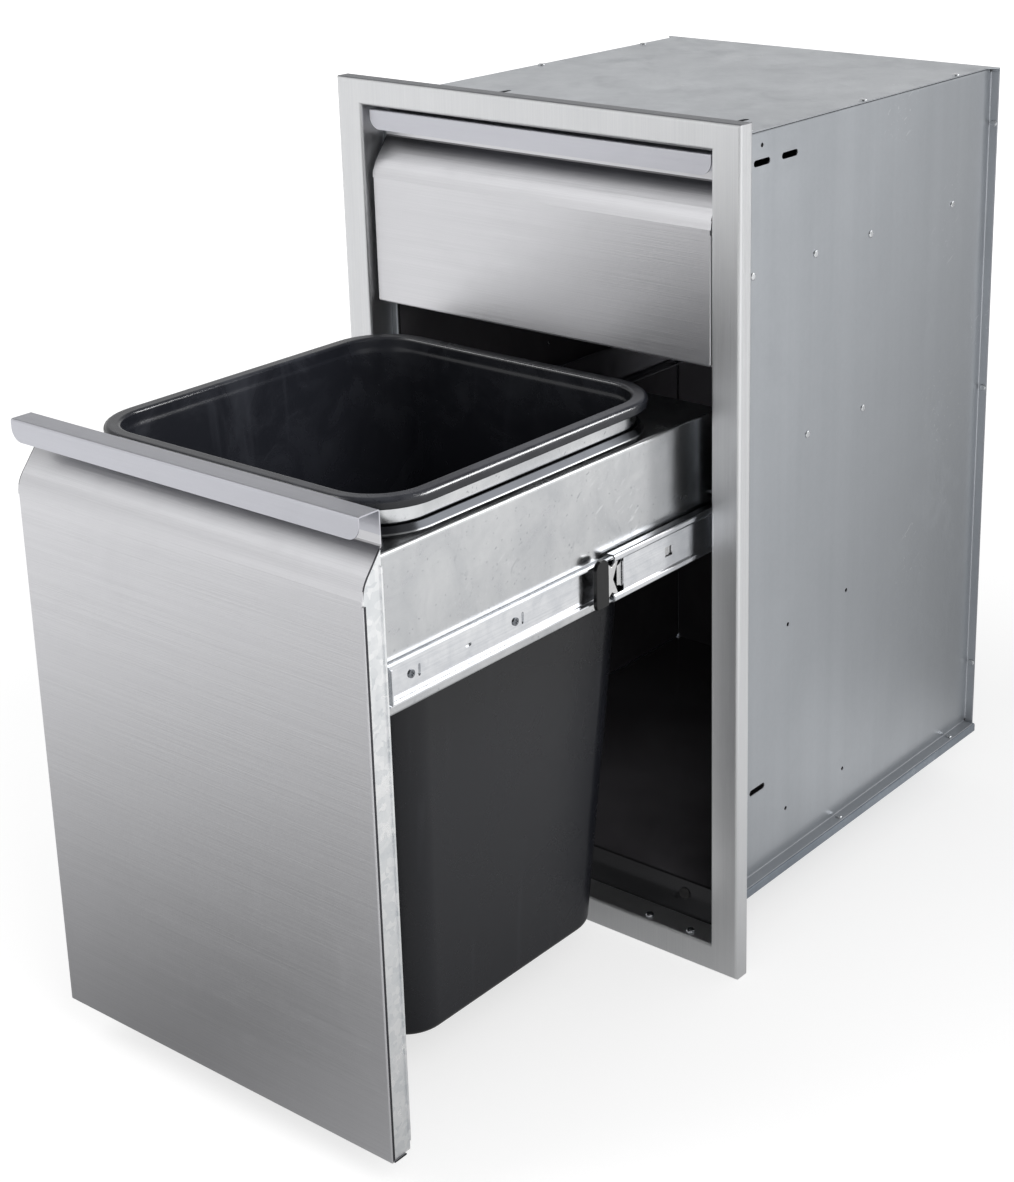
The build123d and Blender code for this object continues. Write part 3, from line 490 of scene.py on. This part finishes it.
tree, sockets, place, colour, rough, zinc = galvanised(
    "drawer_galvanised", metallic=0.6, dark=(168, 171, 175), light=(196, 199, 203),
    smooth=0.34, dull=0.44, crystals=300.0, stains=12.0, few=0.5, bands=(24, 1.5, 24),
    scratch=0.4, shares=(0.1, 0.5, 0.4))
complete(tree, sockets, colour, rough, zinc["Crystals"], depth=0.00001)
print("zinc", list(finishes)[2:])

# %% [markdown]
# ### The box, pale outside and in painted shade inside
# Outside it is the satin sheet. Inside, a dark, smoother zinc is painted as shade, darkest
# at the sill. The flange that turns out along its foot catches the light as a white strip,
# so there the metal gives way to a plain pale coat with a soft mottle: a painted highlight.

# %% The box and its floor
BOX_METALLIC = 0.65
FLANGE_TOP = FLOOR_LOW.z + 0.0085
FLANGE_THICK = 0.0006
FLANGE_WIDTH = 0.009


def box_sheet(name, dark, light):
    tree, sockets, place, colour, rough, zinc = galvanised(
        name, metallic=BOX_METALLIC, dark=dark, light=light, smooth=0.28, dull=0.34,
        crystals=330.0, stains=9.0, few=0.6, bands=(30, 30, 0.8), scratch=0.6,
        shares=(0.12, 0.34, 0.44))
    x, y, z = axes_of(tree, place)
    at_top = node(tree, "Math", {0: z, 1: FLANGE_TOP, 2: FLANGE_THICK},
                  operation="COMPARE").outputs[0]
    outer = over(tree, maths(tree, "ABSOLUTE", x), SIDE_HIGH.x - FLANGE_WIDTH)
    flange = product(tree, outer, at_top)
    # Painted highlight: the foot flange becomes a pale, mottled white coat that is not metal.
    painted_flange_highlight = mixed(tree, clouds(tree, place, 70.0, 3.0), paint(205, 207, 210),
                    paint(255, 255, 255))
    colour = mixed(tree, flange, colour, painted_flange_highlight)
    tree.links.new(ranged(tree, flange, 0.0, 1.0, BOX_METALLIC, 0.0), sockets["Metallic"])
    room = effect(tree, inside, {"Place": place})["Inside"]
    # Painted shade: the inner faces take a dark zinc colour, darkest at the sill.
    painted_inner_shade = mixed(tree, zinc["Stains"], paint(92, 90, 94), paint(118, 116, 120))
    painted_inner_shade = mixed(tree, under(tree, y, SILL_BACK), painted_inner_shade, paint(60, 60, 62))
    inner_rough = ranged(tree, zinc["Stains"], 0, 1, 0.10, 0.18)
    outer_rough = product(tree, rough, maths(tree, "SUBTRACT", 1.0, room))
    rough = maths(tree, "ADD", product(tree, inner_rough, room), outer_rough)
    complete(tree, sockets, mixed(tree, room, colour, painted_inner_shade), rough, zinc["Crystals"],
             depth=0.00001)


box_sheet("box_galvanised", dark=(172, 176, 181), light=(185, 189, 194))
box_sheet("floor_galvanised", dark=(122, 130, 140), light=(150, 158, 168))
print("box", list(finishes)[4:])

# %% [markdown]
# ### The tray
# The tray is the brightest sheet and has been handled most: grey smudges, rubs that slant
# across it, and hairline scratches that are raised a little. The hole for the bin has a
# raised edge, which is darkened as painted shade under the bin's rim.

# %% Smudges, rubs and the painted shade on the raised edge
COLLAR_FOOT = 0.1213
COLLAR_BLEND = 0.0008
COLLAR_HEIGHT = 0.006

tree, sockets, place, colour, rough, zinc = galvanised(
    "tray_galvanised", metallic=1.0, dark=(184, 186, 189), light=(213, 214, 215),
    smooth=0.15, dull=0.27, crystals=260.0, stains=24.0, few=0.5, bands=(24, 24, 2),
    scratch=0.5, shares=(0.05, 0.6, 0.35))
smudges = ranged(tree, clouds(tree, place, 31.0, 3.0, 0.6, 2.0), 0.63, 0.76, 0.0, 0.35)
slanting = turned(tree, place, (1.1, 0.7, 0.2))
rubs = clouds(tree, stretched(tree, slanting, (6, 380, 380)), 1.0, 1.0)
dirt = maths(tree, "MAXIMUM", smudges, ranged(tree, rubs, 0.70, 0.76, 0.0, 0.45))
colour = mixed(tree, dirt, colour, paint(128, 131, 138))
z = axes_of(tree, place)[2]
# Painted shade: the raised edge round the bin's hole is darkened under the bin's rim.
collar_shade = product(tree, ranged(tree, z, COLLAR_FOOT, COLLAR_FOOT + COLLAR_BLEND),
                 under(tree, z, COLLAR_FOOT + COLLAR_HEIGHT))
colour = mixed(tree, collar_shade, colour, paint(84, 86, 90))
hair = effect(tree, handling, {"Place": place, "Few": 0.48})
complete(tree, sockets, colour, rough, hair["Scratches"], depth=0.00001)
print("tray", list(finishes)[6:])

# %% [markdown]
# ## Bright zinc on the small parts
# Slides, cages, rivets and screws are zinc plated. They are small, so what shows is a soft
# cloudiness and fine lines of the rolling mill along the slides. The crystals of plating
# are too fine to see one by one.

# %% Plated parts
FINE_CRYSTALS = 700.0
MILL_SHARE, CLOUD_SHARE = 0.4, 0.6


def plated(name, dark, light, smooth, dull, stretch, cloud_scale):
    tree, sockets, place = new_finish(name, 1.0, smooth)
    lines = effect(tree, brushing, {"Place": place, "Stretch": stretch})["Lines"]
    zinc = effect(tree, bloom, {"Place": place, "Crystals": FINE_CRYSTALS,
                                "Stains": cloud_scale})
    tone = maths(tree, "ADD", maths(tree, "MULTIPLY", lines, MILL_SHARE),
                 maths(tree, "MULTIPLY", zinc["Stains"], CLOUD_SHARE))
    complete(tree, sockets, mixed(tree, tone, paint(*dark), paint(*light)),
             ranged(tree, zinc["Stains"], 0, 1, dull, smooth), lines, depth=0.00001)


plated("slide_zinc", (204, 207, 212), (238, 239, 241), 0.12, 0.22, (900, 6, 900), 60.0)
plated("cage_zinc", (196, 196, 196), (222, 222, 222), 0.20, 0.32, (600, 10, 600), 90.0)
plated("ball_steel", (214, 214, 216), (232, 232, 234), 0.06, 0.12, (90, 90, 90), 200.0)
plated("rivet_zinc", (190, 193, 196), (218, 220, 222), 0.20, 0.34, (500, 500, 500), 220.0)
plated("screw_zinc", (198, 201, 206), (226, 228, 232), 0.15, 0.28, (500, 500, 500), 260.0)
# A darker copy of the screw zinc, for the runner screws: painted shade.
plated("shaded_screw_zinc", (104, 107, 112), (140, 143, 148), 0.2, 0.34, (500, 500, 500), 260.0)
print("plated", list(finishes)[7:])

# %% [markdown]
# ## Plastic and rubber
# The bin is moulded in black plastic with a fine satin texture. Near the rim it turns a
# lighter grey in a haze, and it has faint runs down its walls. The slide guides are the
# same black but glossy, and the bumpers are matt rubber.

# %% Black moulded plastic for the bin
HAZE_REACH = 0.16
HAZE_SHARE, RUNS_SHARE, SCRATCH_SHARE = 0.22, 0.12, 0.06
PORES = 1500.0

tree, sockets, place = new_finish("bin_plastic", 0.0, 0.36, Specular_IOR_Level=0.4)
haze = clouds(tree, place, 17.0, 5.0, 0.65, 0.8)
runs = clouds(tree, stretched(tree, place, (70, 70, 2.5)), 1.0, 2.0)
marks = effect(tree, handling, {"Place": place, "Few": 0.45})
near_rim = ranged(tree, axes_of(tree, place)[2], BIN_HIGH.z - HAZE_REACH, BIN_HIGH.z)
greying = product(tree, ranged(tree, haze, 0.45, 0.75), near_rim, HAZE_SHARE)
greying = maths(tree, "ADD", greying,
             product(tree, ranged(tree, runs, 0.62, 0.8), RUNS_SHARE))
greying = maths(tree, "ADD", greying, product(tree, marks["Scratches"], SCRATCH_SHARE))
colour = mixed(tree, greying, paint(20, 21, 25), paint(66, 68, 74))
complete(tree, sockets, colour, ranged(tree, haze, 0.3, 0.7, 0.22, 0.31),
         clouds(tree, place, PORES, 2.0, 0.6), depth=0.00003, strength=0.5)

# %% Guides and bumpers
for name, dark, light, smooth, dull, deep in (
        ("guide_plastic", (5, 5, 6), (18, 18, 20), 0.14, 0.26, 0.00001),
        ("bumper_rubber", (34, 34, 35), (58, 57, 56), 0.62, 0.80, 0.0001)):
    tree, sockets, place = new_finish(name, 0.0, smooth, Specular_IOR_Level=0.35)
    worn = clouds(tree, place, 240.0, 4.0, 0.65)
    colour = mixed(tree, ranged(tree, worn, 0.4, 0.75), paint(*dark), paint(*light))
    complete(tree, sockets, colour, ranged(tree, worn, 0.3, 0.7, smooth, dull),
             clouds(tree, place, 900.0, 2.0), depth=deep, strength=0.5)
print("plastic", list(finishes)[13:])

# %% [markdown]
# ## Dressing the imported pieces
# Every piece comes with a material named for its finish, so each of its slots is given the
# finish of that name. Two kinds of piece get another one: the screws on the runners, which
# get a darker copy of the screw zinc as painted shade, and the drawer's box, which is duller
# than the tray.

# %% Give every piece its finish
OTHER_FINISHES = {
    "shaded_screw_zinc": ("trash_runner_screws", "drawer_runner_screws"),
    "drawer_galvanised": ("drawer_box", "drawer_box_front", "drawer_box_back"),
}

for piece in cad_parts.values():
    for place_on_piece in piece.material_slots:
        place_on_piece.material = finishes[place_on_piece.material.name]
for finish, names in OTHER_FINISHES.items():
    for name in names:
        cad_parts[name].material_slots[0].material = finishes[finish]
print("dressed", len(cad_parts), "pieces in", len(finishes), "finishes")

# %% [markdown]
# ## The bin
# The bin is one moulding: a tapered body, a rim that rolls outwards over the tray, and a
# small step inside the mouth, where a second bin would rest. It could be lofted, but every
# level is the same rounded rectangle in another size, so it is made by extruding one loop
# of edges again and again, each time moved to the next level of the wall.

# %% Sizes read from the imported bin
MIDDLE_Y = (BIN_LOW.y + BIN_HIGH.y) / 2
RIM_OUT = 0.011
WALL = 0.0025
TAPER = (0.030, 0.034)
CORNER_AT_TOP, CORNER_AT_FOOT = 0.039, 0.032
BODY_TOP = (BIN_HIGH.x - RIM_OUT, (BIN_HIGH.y - BIN_LOW.y) / 2 - RIM_OUT, CORNER_AT_TOP)
BODY_FOOT = (BODY_TOP[0] - TAPER[0], BODY_TOP[1] - TAPER[1], CORNER_AT_FOOT)
print("bin body at the top", [round(v * 1000, 1) for v in BODY_TOP], "mm half sizes")


# %% A level of the wall, and the next loop
def level(out, height):
    """Half width, half depth and corner radius of the body at a height, grown by out."""
    part = (height - BIN_LOW.z) / (BIN_HIGH.z - BIN_LOW.z)
    return [foot + (top - foot) * part + out for foot, top in zip(BODY_FOOT, BODY_TOP)]


def move_loop(points, before, after, height):
    """Keep each corner an arc: its points move with the arc's centre and its radius."""
    for point in points:
        for axis in (0, 1):
            side = math.copysign(1.0, point.co[axis])
            turn = (point.co[axis] - side * (before[axis] - before[2])) / before[2]
            point.co[axis] = side * (after[axis] - after[2]) + turn * after[2]
        point.co.z = height


def next_loop(shape, edges, before, after, height):
    made = bmesh.ops.extrude_edge_only(shape, edges=edges)["geom"]
    points = {item for item in made if isinstance(item, bmesh.types.BMVert)}
    move_loop(points, before, after, height)
    return [item for item in made if isinstance(item, bmesh.types.BMEdge)
            and all(end in points for end in item.verts)]


# %% [markdown]
# ### The wall in section
# The wall is drawn as pairs: how far out from the body's outer face, and at what height. It
# runs from the foot up the outer face, out under the rim, over the roll, down the step in
# the mouth and along the inner face to the inner floor.

# %% The profile of the wall
def arc(middle_out, middle_height, radius, start, end, steps):
    """Points of an arc in the wall's section. 0 degrees points outwards, 90 up."""
    return [(middle_out + radius * math.cos(math.radians(a)),
             middle_height + radius * math.sin(math.radians(a)))
            for a in (start + (end - start) * i / steps for i in range(steps + 1))]


foot = BIN_LOW.z
top = BIN_HIGH.z
FOOT_ROUND = 0.006
ROLL_ROUND = 0.004
profile = arc(-FOOT_ROUND, foot + FOOT_ROUND, FOOT_ROUND, -90, 0, 8)
profile += [(0, foot + FOOT_ROUND + 0.001), (0, top - 0.0050)]
profile += arc(0.0016, top - 0.0042, 0.0016, 180, 90, 3)
profile += [(RIM_OUT - 0.0046, top - 0.0026), (RIM_OUT - 0.0030, top - 0.0030),
            (RIM_OUT - 0.0023, top - 0.0044), (RIM_OUT - 0.0022, top - 0.0078)]
profile += arc(RIM_OUT - 0.0011, top - 0.0074, 0.0011, 180, 360, 6)
profile += arc(RIM_OUT - ROLL_ROUND, top - ROLL_ROUND, ROLL_ROUND, 0, 84, 7)
profile += [(0.0052, top - 0.0001), (0.0030, top - 0.0001)]
profile += arc(0.0006, top - 0.0025, 0.0024, 84, 180, 7)
profile += [(-0.0018, top - 0.0070), (-0.0018, top - 0.0085), (-0.0020, top - 0.0094),
            (-0.0023, top - 0.0106), (-WALL, top - 0.0116), (-WALL, top - 0.0130),
            (-WALL, foot + WALL + FOOT_ROUND + 0.001)]
profile += arc(-WALL - FOOT_ROUND, foot + WALL + FOOT_ROUND, FOOT_ROUND, 0, -90, 7)
print("profile", len(profile), "levels")

# %% Extrude the bin level by level
ARC_STEPS = 12

shape = bmesh.new()
bmesh.ops.create_grid(shape, x_segments=1, y_segments=1, size=1.0)
now = level(*profile[0])
bmesh.ops.scale(shape, vec=(now[0], now[1], 1.0), verts=shape.verts)
bmesh.ops.bevel(shape, geom=shape.verts[:], offset=now[2], affect="VERTICES",
                segments=ARC_STEPS, profile=0.5, material=-1)
bmesh.ops.translate(shape, vec=(0, 0, foot), verts=shape.verts)
loop = shape.edges[:]
for out, height in profile[1:]:
    then = level(out, height)
    loop = next_loop(shape, loop, now, then, height)
    now = then
bmesh.ops.contextual_create(shape, geom=loop)
bmesh.ops.translate(shape, vec=(0, MIDDLE_Y, 0), verts=shape.verts)
bmesh.ops.recalc_face_normals(shape, faces=shape.faces)
for face in shape.faces:
    face.smooth = True
print("bin", len(shape.verts), "points", len(shape.faces), "faces")


# %% [markdown]
# ### Handing a piece over
# A finished shape becomes an object at the origin, gets its finish, rides on the body it
# moves with, and hides the imported pieces it stands for, if any.

# %% Hand over a piece, and the bin
def hand_over(shape, name, finish, body, *stood_for):
    """Make the object, give it its finish and let it ride."""
    mesh = bpy.data.meshes.new(name)
    shape.to_mesh(mesh)
    shape.free()
    mesh.materials.append(finishes[finish])
    piece = bpy.data.objects.new(name, mesh)
    bpy.context.scene.collection.objects.link(piece)
    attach(piece, body)
    if stood_for:
        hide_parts(*stood_for)
    return piece


bin_moulding = hand_over(shape, "bin_moulding", "bin_plastic", "bin", "bin")
crisp = bin_moulding.modifiers.new("flat walls shade flat", "WEIGHTED_NORMAL")
crisp.keep_sharp = True
print("handed over", bin_moulding.name)

# %% [markdown]
# ## The guides and cage ends of the slides
# At the front of each slide's middle member sits a black guide with a rounded head, and
# behind it the bright stamped end of a ball cage shows as a zigzag edge. Both are flat
# things with an interesting outline, so each is one face drawn with a few points, then
# extruded to its thickness and bevelled.


# %% A flat piece from its outline
def plate(outline, near_x, far_x, round_edges):
    """Extrude an outline of (y, z) points from near_x to far_x, on both sides."""
    shape = bmesh.new()
    corners = [shape.verts.new((near_x, y, z)) for y, z in outline]
    face = bmesh.ops.contextual_create(shape, geom=corners)["faces"]
    grown = bmesh.ops.extrude_face_region(shape, geom=face)["geom"]
    moved = [v for v in grown if isinstance(v, bmesh.types.BMVert)]
    bmesh.ops.translate(shape, vec=(far_x - near_x, 0, 0), verts=moved)
    bmesh.ops.recalc_face_normals(shape, faces=shape.faces)
    bmesh.ops.bevel(shape, geom=shape.edges[:], offset=round_edges, affect="EDGES",
                    segments=2, profile=0.5, material=-1)
    bmesh.ops.mirror(shape, geom=shape.verts[:] + shape.edges[:] + shape.faces[:],
                     axis="X", merge_dist=-1)
    bmesh.ops.recalc_face_normals(shape, faces=shape.faces)
    return shape


# %% Guides and cage ends on both pairs of slides
GUIDE_LENGTH = 0.0145
CAGE_BEHIND = 0.0060
HALF_CAGE = 0.0150
TEETH = [(0.0125, HALF_CAGE), (0.0185, 0.0100), (0.0150, 0.0050), (0.0200, 0.0),
         (0.0150, -0.0050), (0.0185, -0.0100), (0.0125, -HALF_CAGE)]

slide_details = []
for kind in ("trash", "drawer"):
    low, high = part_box(kind + "_slide_guides")
    start, middle, half = low.y, (low.z + high.z) / 2, (high.z - low.z) / 2
    wall = high.x
    head = [(start + 0.0010, middle - half), (start, middle - half + 0.0030),
            (start, middle + half - 0.0062), (start + 0.0018, middle + half - 0.0018),
            (start + 0.0050, middle + half), (start + 0.0100, middle + half),
            (start + 0.0132, middle + half - 0.0020),
            (start + GUIDE_LENGTH, middle + half - 0.0052),
            (start + GUIDE_LENGTH, middle - half)]
    guides = plate(head, near_x=wall - 0.0040, far_x=wall - 0.0004, round_edges=0.0006)
    slide_details.append(hand_over(guides, kind + "_guide_heads", "guide_plastic",
                                   kind + "_middle", kind + "_slide_guides"))
    rear = high.y + CAGE_BEHIND
    edge = [(rear, HALF_CAGE)] + [(start + y, z) for y, z in TEETH] + [(rear, -HALF_CAGE)]
    ends = plate([(y, middle + z) for y, z in edge], near_x=wall - 0.0022,
                 far_x=wall - 0.0010, round_edges=0.0003)
    slide_details.append(hand_over(ends, kind + "_cage_ends", "cage_zinc",
                                   kind + "_middle"))
    print(kind, "guide", round(start, 4), "to", round(start + GUIDE_LENGTH, 4))

# %% [markdown]
# ## The studio
# The cabinet was photographed on white. The air of the studio is plain white where the
# camera or a shiny surface looks at it, and softer where it only lights things, so that
# the soft lamps give the shapes their shading. Shiny surfaces that face up see a greyer
# ceiling above the white paper, which is why the tops of the lips are darker than their
# fronts.

# %% White air
AIR_LIGHT = 0.55
CEILING_GREY = 0.36
PAPER_ENDS, CEILING_STARTS = 0.15, 0.45

world = bpy.data.worlds.new("studio_air")
world.use_nodes = True
world.cycles.sampling_method = "NONE"
bpy.context.scene.world = world
air = world.node_tree
rays = node(air, "LightPath").outputs
seen = maths(air, "MAXIMUM", rays["Is Camera Ray"],
             maths(air, "MAXIMUM", rays["Is Glossy Ray"], rays["Is Transmission Ray"]))
air.nodes["Background"].inputs["Color"].default_value = (1, 1, 1, 1)
upward = axes_of(air, node(air, "TexCoord").outputs["Generated"])[2]
ceiling = ranged(air, upward, PAPER_ENDS, CEILING_STARTS, 1.0, CEILING_GREY)
greyer = product(air, rays["Is Glossy Ray"], maths(air, "SUBTRACT", 1.0, ceiling))
strength = maths(air, "SUBTRACT", ranged(air, seen, 0, 1, AIR_LIGHT, 1.0), greyer)
air.links.new(strength, air.nodes["Background"].inputs["Strength"])
print("air", AIR_LIGHT, "as light, ceiling", CEILING_GREY, "in a shine")


# %% [markdown]
# ## The floor
# The floor is a wide pale sheet under the frame. It takes the cabinet's soft shadow, and
# the rest of its white comes from its own glow, which only the camera and shiny surfaces
# see. The floor and a card further on are made alike, so one function hands both over as
# stage pieces, which are not part of the object.

# %% A stage piece, and the floor's sheet
def stage_piece(shape, name):
    mesh = bpy.data.meshes.new(name)
    shape.to_mesh(mesh)
    shape.free()
    piece = bpy.data.objects.new(name, mesh)
    bpy.context.scene.collection.objects.link(piece)
    piece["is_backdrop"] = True
    return piece


FLOOR_HALF = 12.0

shape = bmesh.new()
bmesh.ops.create_grid(shape, x_segments=1, y_segments=1, size=FLOOR_HALF)
bmesh.ops.translate(shape, vec=(0, 0, cad_low.z), verts=shape.verts)
studio_floor = stage_piece(shape, "studio_floor")
print("floor at", round(cad_low.z, 4))

# %% [markdown]
# ### The floor's paint
# For the camera it is white, a little less so near the cabinet. For shiny surfaces it
# darkens towards the foot of the door, as a floor does under a large thing, and this is
# what draws the fronts from pale at the top to dark at the foot. The strip behind the
# cabinet lies in its shade, and the floor to the right, which the side panel mirrors, is
# bright close by, dimmer a step away and bright again far out.

# %% Paint the floor
DOOR_FOOT = (-0.10, -0.50, 0.0)
SHADE_SLOPE = 1.7
SHADE_LEFT = 0.15
LIT_GREY, SHADED_GREY = 0.42, 0.12
RIGHT_OF_CABINET = 0.2

floor_paint = bpy.data.materials.new("floor_paint")
floor_paint.use_nodes = True
studio_floor.data.materials.append(floor_paint)
tree = floor_paint.node_tree
shader = tree.nodes["Principled BSDF"].inputs
shader["Roughness"].default_value = 1.0
shader["Specular IOR Level"].default_value = 0.0
shader["Emission Color"].default_value = (1, 1, 1, 1)
place = node(tree, "TexCoord").outputs["Object"]
flat = stretched(tree, place, (1, 1, 0))
x, y, z = axes_of(tree, place)
away = node(tree, "VectorMath", {0: flat}, operation="LENGTH").outputs["Value"]
ahead = node(tree, "VectorMath", {0: flat, 1: DOOR_FOOT}, operation="DISTANCE")
ahead = ahead.outputs["Value"]
rays = node(tree, "LightPath").outputs
shiny = maths(tree, "MAXIMUM", rays["Is Glossy Ray"], rays["Is Transmission Ray"])

# %% Its grey, which the lamps light
side = maths(tree, "SUBTRACT", y, maths(tree, "MULTIPLY", x, SHADE_SLOPE))
shade = product(tree, ranged(tree, side, -0.25, 0.15), ranged(tree, y, 0.35, 0.6), shiny)
near = product(tree, shiny, ranged(tree, ahead, 0.0, 0.9, 1.0, 0.0))
dim = maths(tree, "MAXIMUM", near, shade)
tree.links.new(mixed(tree, dim, (LIT_GREY, LIT_GREY, LIT_GREY, 1),
                     (SHADED_GREY, SHADED_GREY, SHADED_GREY, 1)), shader["Base Color"])

# %% Its glow, for the camera and for shiny surfaces
for_camera = product(tree, rays["Is Camera Ray"], ranged(tree, away, 0.7, 2.6, 0.66, 1.0))
beside = product(tree, ranged(tree, x, 0.45, 1.9, 0.62, 1.70),
                 ranged(tree, x, 0.25, 0.5, 1.9, 1.0))
beside = product(tree, maths(tree, "SUBTRACT", beside, 1.0),
                 over(tree, x, RIGHT_OF_CABINET))
for_shine = product(tree, shiny, ranged(tree, ahead, 0.0, 1.20, 0.07, 0.66),
                    ranged(tree, shade, 0, 1, 1.0, SHADE_LEFT),
                    ranged(tree, away, 0.15, 0.45, 0.6, 1.0),
                    maths(tree, "ADD", 1.0, beside))
tree.links.new(maths(tree, "ADD", for_camera, for_shine), shader["Emission Strength"])
print("floor paint", len(tree.nodes), "nodes")

# %% [markdown]
# ## The dark side of the studio
# White paper lies under and behind the cabinet, but the room behind the camera is dark, and
# that is what draws the dark lines on folds and slides that face the camera. One large
# black card stands there for the room. Only shiny surfaces see it. Its corners are rounded,
# because a sharp corner would show in a smooth panel.

# %% A black card behind the camera
CARD_PLACE = Vector((1.75, -2.0, 1.05))
CARD_HALF = (1.5, 1.25)
CARD_CORNER = 0.4
CARD_BLACK = (0.02, 0.02, 0.02, 1)

shape = bmesh.new()
bmesh.ops.create_grid(shape, x_segments=1, y_segments=1, size=1.0)
bmesh.ops.scale(shape, vec=(*CARD_HALF, 1.0), verts=shape.verts)
bmesh.ops.bevel(shape, geom=shape.verts[:], offset=CARD_CORNER, affect="VERTICES",
                segments=6, profile=0.5, material=-1)
facing = (Vector((0.0, 0.0, 0.1)) - CARD_PLACE).to_track_quat("Z", "Y")
bmesh.ops.rotate(shape, cent=(0, 0, 0), matrix=facing.to_matrix(), verts=shape.verts)
bmesh.ops.translate(shape, vec=CARD_PLACE, verts=shape.verts)
dark_card = stage_piece(shape, "dark_card")
for ray in ("camera", "diffuse", "transmission", "shadow"):
    setattr(dark_card, "visible_" + ray, False)
card_paint = bpy.data.materials.new("card_paint")
card_paint.use_nodes = True
shader = card_paint.node_tree.nodes["Principled BSDF"].inputs
shader["Base Color"].default_value = CARD_BLACK
dark_card.data.materials.append(card_paint)
print("card", len(dark_card.data.polygons), "face")


# %% [markdown]
# ## The lamps
# The large key lamp stands high on the left and in front, where the photograph has its
# brightest edges, and a weaker one fills from the right. Neither shows as a shape in a
# shine. Some lamps further on light a few pieces only, and light linking does that: a
# collection of objects says which ones a lamp reaches.

# %% Soft lamps
def soft_lamp(name, place, aim, size, power):
    data = bpy.data.lights.new(name, "AREA")
    data.shape = "SQUARE"
    data.size = size
    data.energy = power
    lamp = bpy.data.objects.new(name, data)
    lamp.location = place
    lamp.rotation_mode = "QUATERNION"
    lamp.rotation_quaternion = (Vector(aim) - Vector(place)).to_track_quat("-Z", "Y")
    bpy.context.scene.collection.objects.link(lamp)
    lamp.visible_camera = False
    return lamp


def light_only(lamp, pieces):
    """Let the lamp light these pieces and no others, and give the list that says so."""
    lit = bpy.data.collections.new(lamp.name + "_pieces")
    for piece in pieces:
        lit.objects.link(piece)
    lamp.light_linking.receiver_collection = lit
    return lit


key = soft_lamp("key_lamp", (-1.9, -2.1, 2.6), (0.0, -0.1, 0.0), size=2.6, power=58.0)
fill = soft_lamp("fill_lamp", (1.0, -0.75, 0.55), (0.17, 0.1, 0.0), size=0.7, power=9.0)
for lamp in (key, fill):
    lamp.visible_glossy = False
print("lamps", key.data.energy, fill.data.energy, "W")


# %% [markdown]
# ### Lamps that only show in a shine
# Steel looks like what it mirrors, and polished edges need something bright to catch. These
# lamps only show in glossy surfaces: the key's own shine, which all pieces see, a long
# strip at the back right for the plastic and the slides' ends, and two faint ones for the
# drawer's front and the right stile, which lighten what those mirror of the black bin.

# %% Shines for the steel and the plastic
def shine_lamp(name, place, aim, size, brightness, pieces=None):
    """A lamp of a set brightness, where 1 is white, for some pieces or for all."""
    width, height = size
    lamp = soft_lamp(name, place, aim, width, brightness * math.pi * width * height)
    lamp.data.shape = "RECTANGLE"
    lamp.data.size_y = height
    lamp.visible_diffuse = False
    if pieces:
        light_only(lamp, pieces)
    print("shine", name, brightness, "for", len(pieces) if pieces else "all", "pieces")


BACK_RIGHT = (1.5, 1.7, 1.35)
BIN_FRONT = (0.0, -0.2, 0.15)
BIN_MIDDLE = (0.0, -0.2, 0.0)
MOUTH = (-0.06, -0.13)
ABOVE_RIM = 0.002
STILE_X, STILE_Z = 0.125, -0.10

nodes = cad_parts
plastic = [nodes["door_bumpers"], bin_moulding]
shine_lamp("key_shine", (-1.7, -1.9, 2.1), (0.0, -0.1, 0.1), size=(2.4, 1.7),
           brightness=0.92)
shine_lamp("long_strip", BACK_RIGHT, BIN_FRONT, size=(2.6, 0.8), brightness=36.0,
           pieces=plastic + slide_details)
shine_lamp("mouth_shine", (*MOUTH, BIN_HIGH.z + ABOVE_RIM), (*MOUTH, 1.0),
           size=(0.19, 0.14), brightness=0.46, pieces=[nodes["drawer_front_skin"]])
shine_lamp("stile_shine", (STILE_X, -0.05, STILE_Z), (STILE_X, 1.0, STILE_Z),
           size=(0.07, 0.40), brightness=0.38, pieces=[nodes["face_frame"]])

# %% [markdown]
# ### Light for the bin, and for rolled edges
# Black plastic stays deep only if little light falls into it. So the key leaves the bin
# out, and a small lamp over the mouth lights nothing else. One more strip at the left draws
# the near side of its rim, and a wide weak one at the back right brightens the rolled
# edges of tray, slides, rivets and screws.

# %% The bin's lamps, and a strip for edges
over_mouth = soft_lamp("mouth_lamp", (0.8, 0.3, 1.4), BIN_MIDDLE, size=0.5, power=60.0)
over_mouth.visible_glossy = False
light_only(over_mouth, [bin_moulding])
left_out = light_only(key, [bin_moulding])
left_out.collection_objects[0].light_linking.link_state = "EXCLUDE"
shine_lamp("left_strip", (-1.6, -1.1, 2.1), (0.0, -0.2, 0.1), size=(0.9, 0.9),
           brightness=9.0, pieces=plastic)

rolled = [piece for name, piece in nodes.items()
          if name.startswith("tray_") or "_slide_" in name or name == "bin_tray"
          or "rivets" in name or "screws" in name]
shine_lamp("edge_strip", BACK_RIGHT, BIN_FRONT, size=(2.6, 1.4), brightness=2.6,
           pieces=rolled)
print("mouth lamp", over_mouth.data.energy, "W")

# %% [markdown]
# ## The end
# The box is measured once more and printed, as it was at the start, and the picture keeps
# plain colours.

# %% Finish
low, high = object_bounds()
bpy.context.scene.view_settings.view_transform = "Standard"
print("box", [round(v, 4) for v in (*low, *high)])
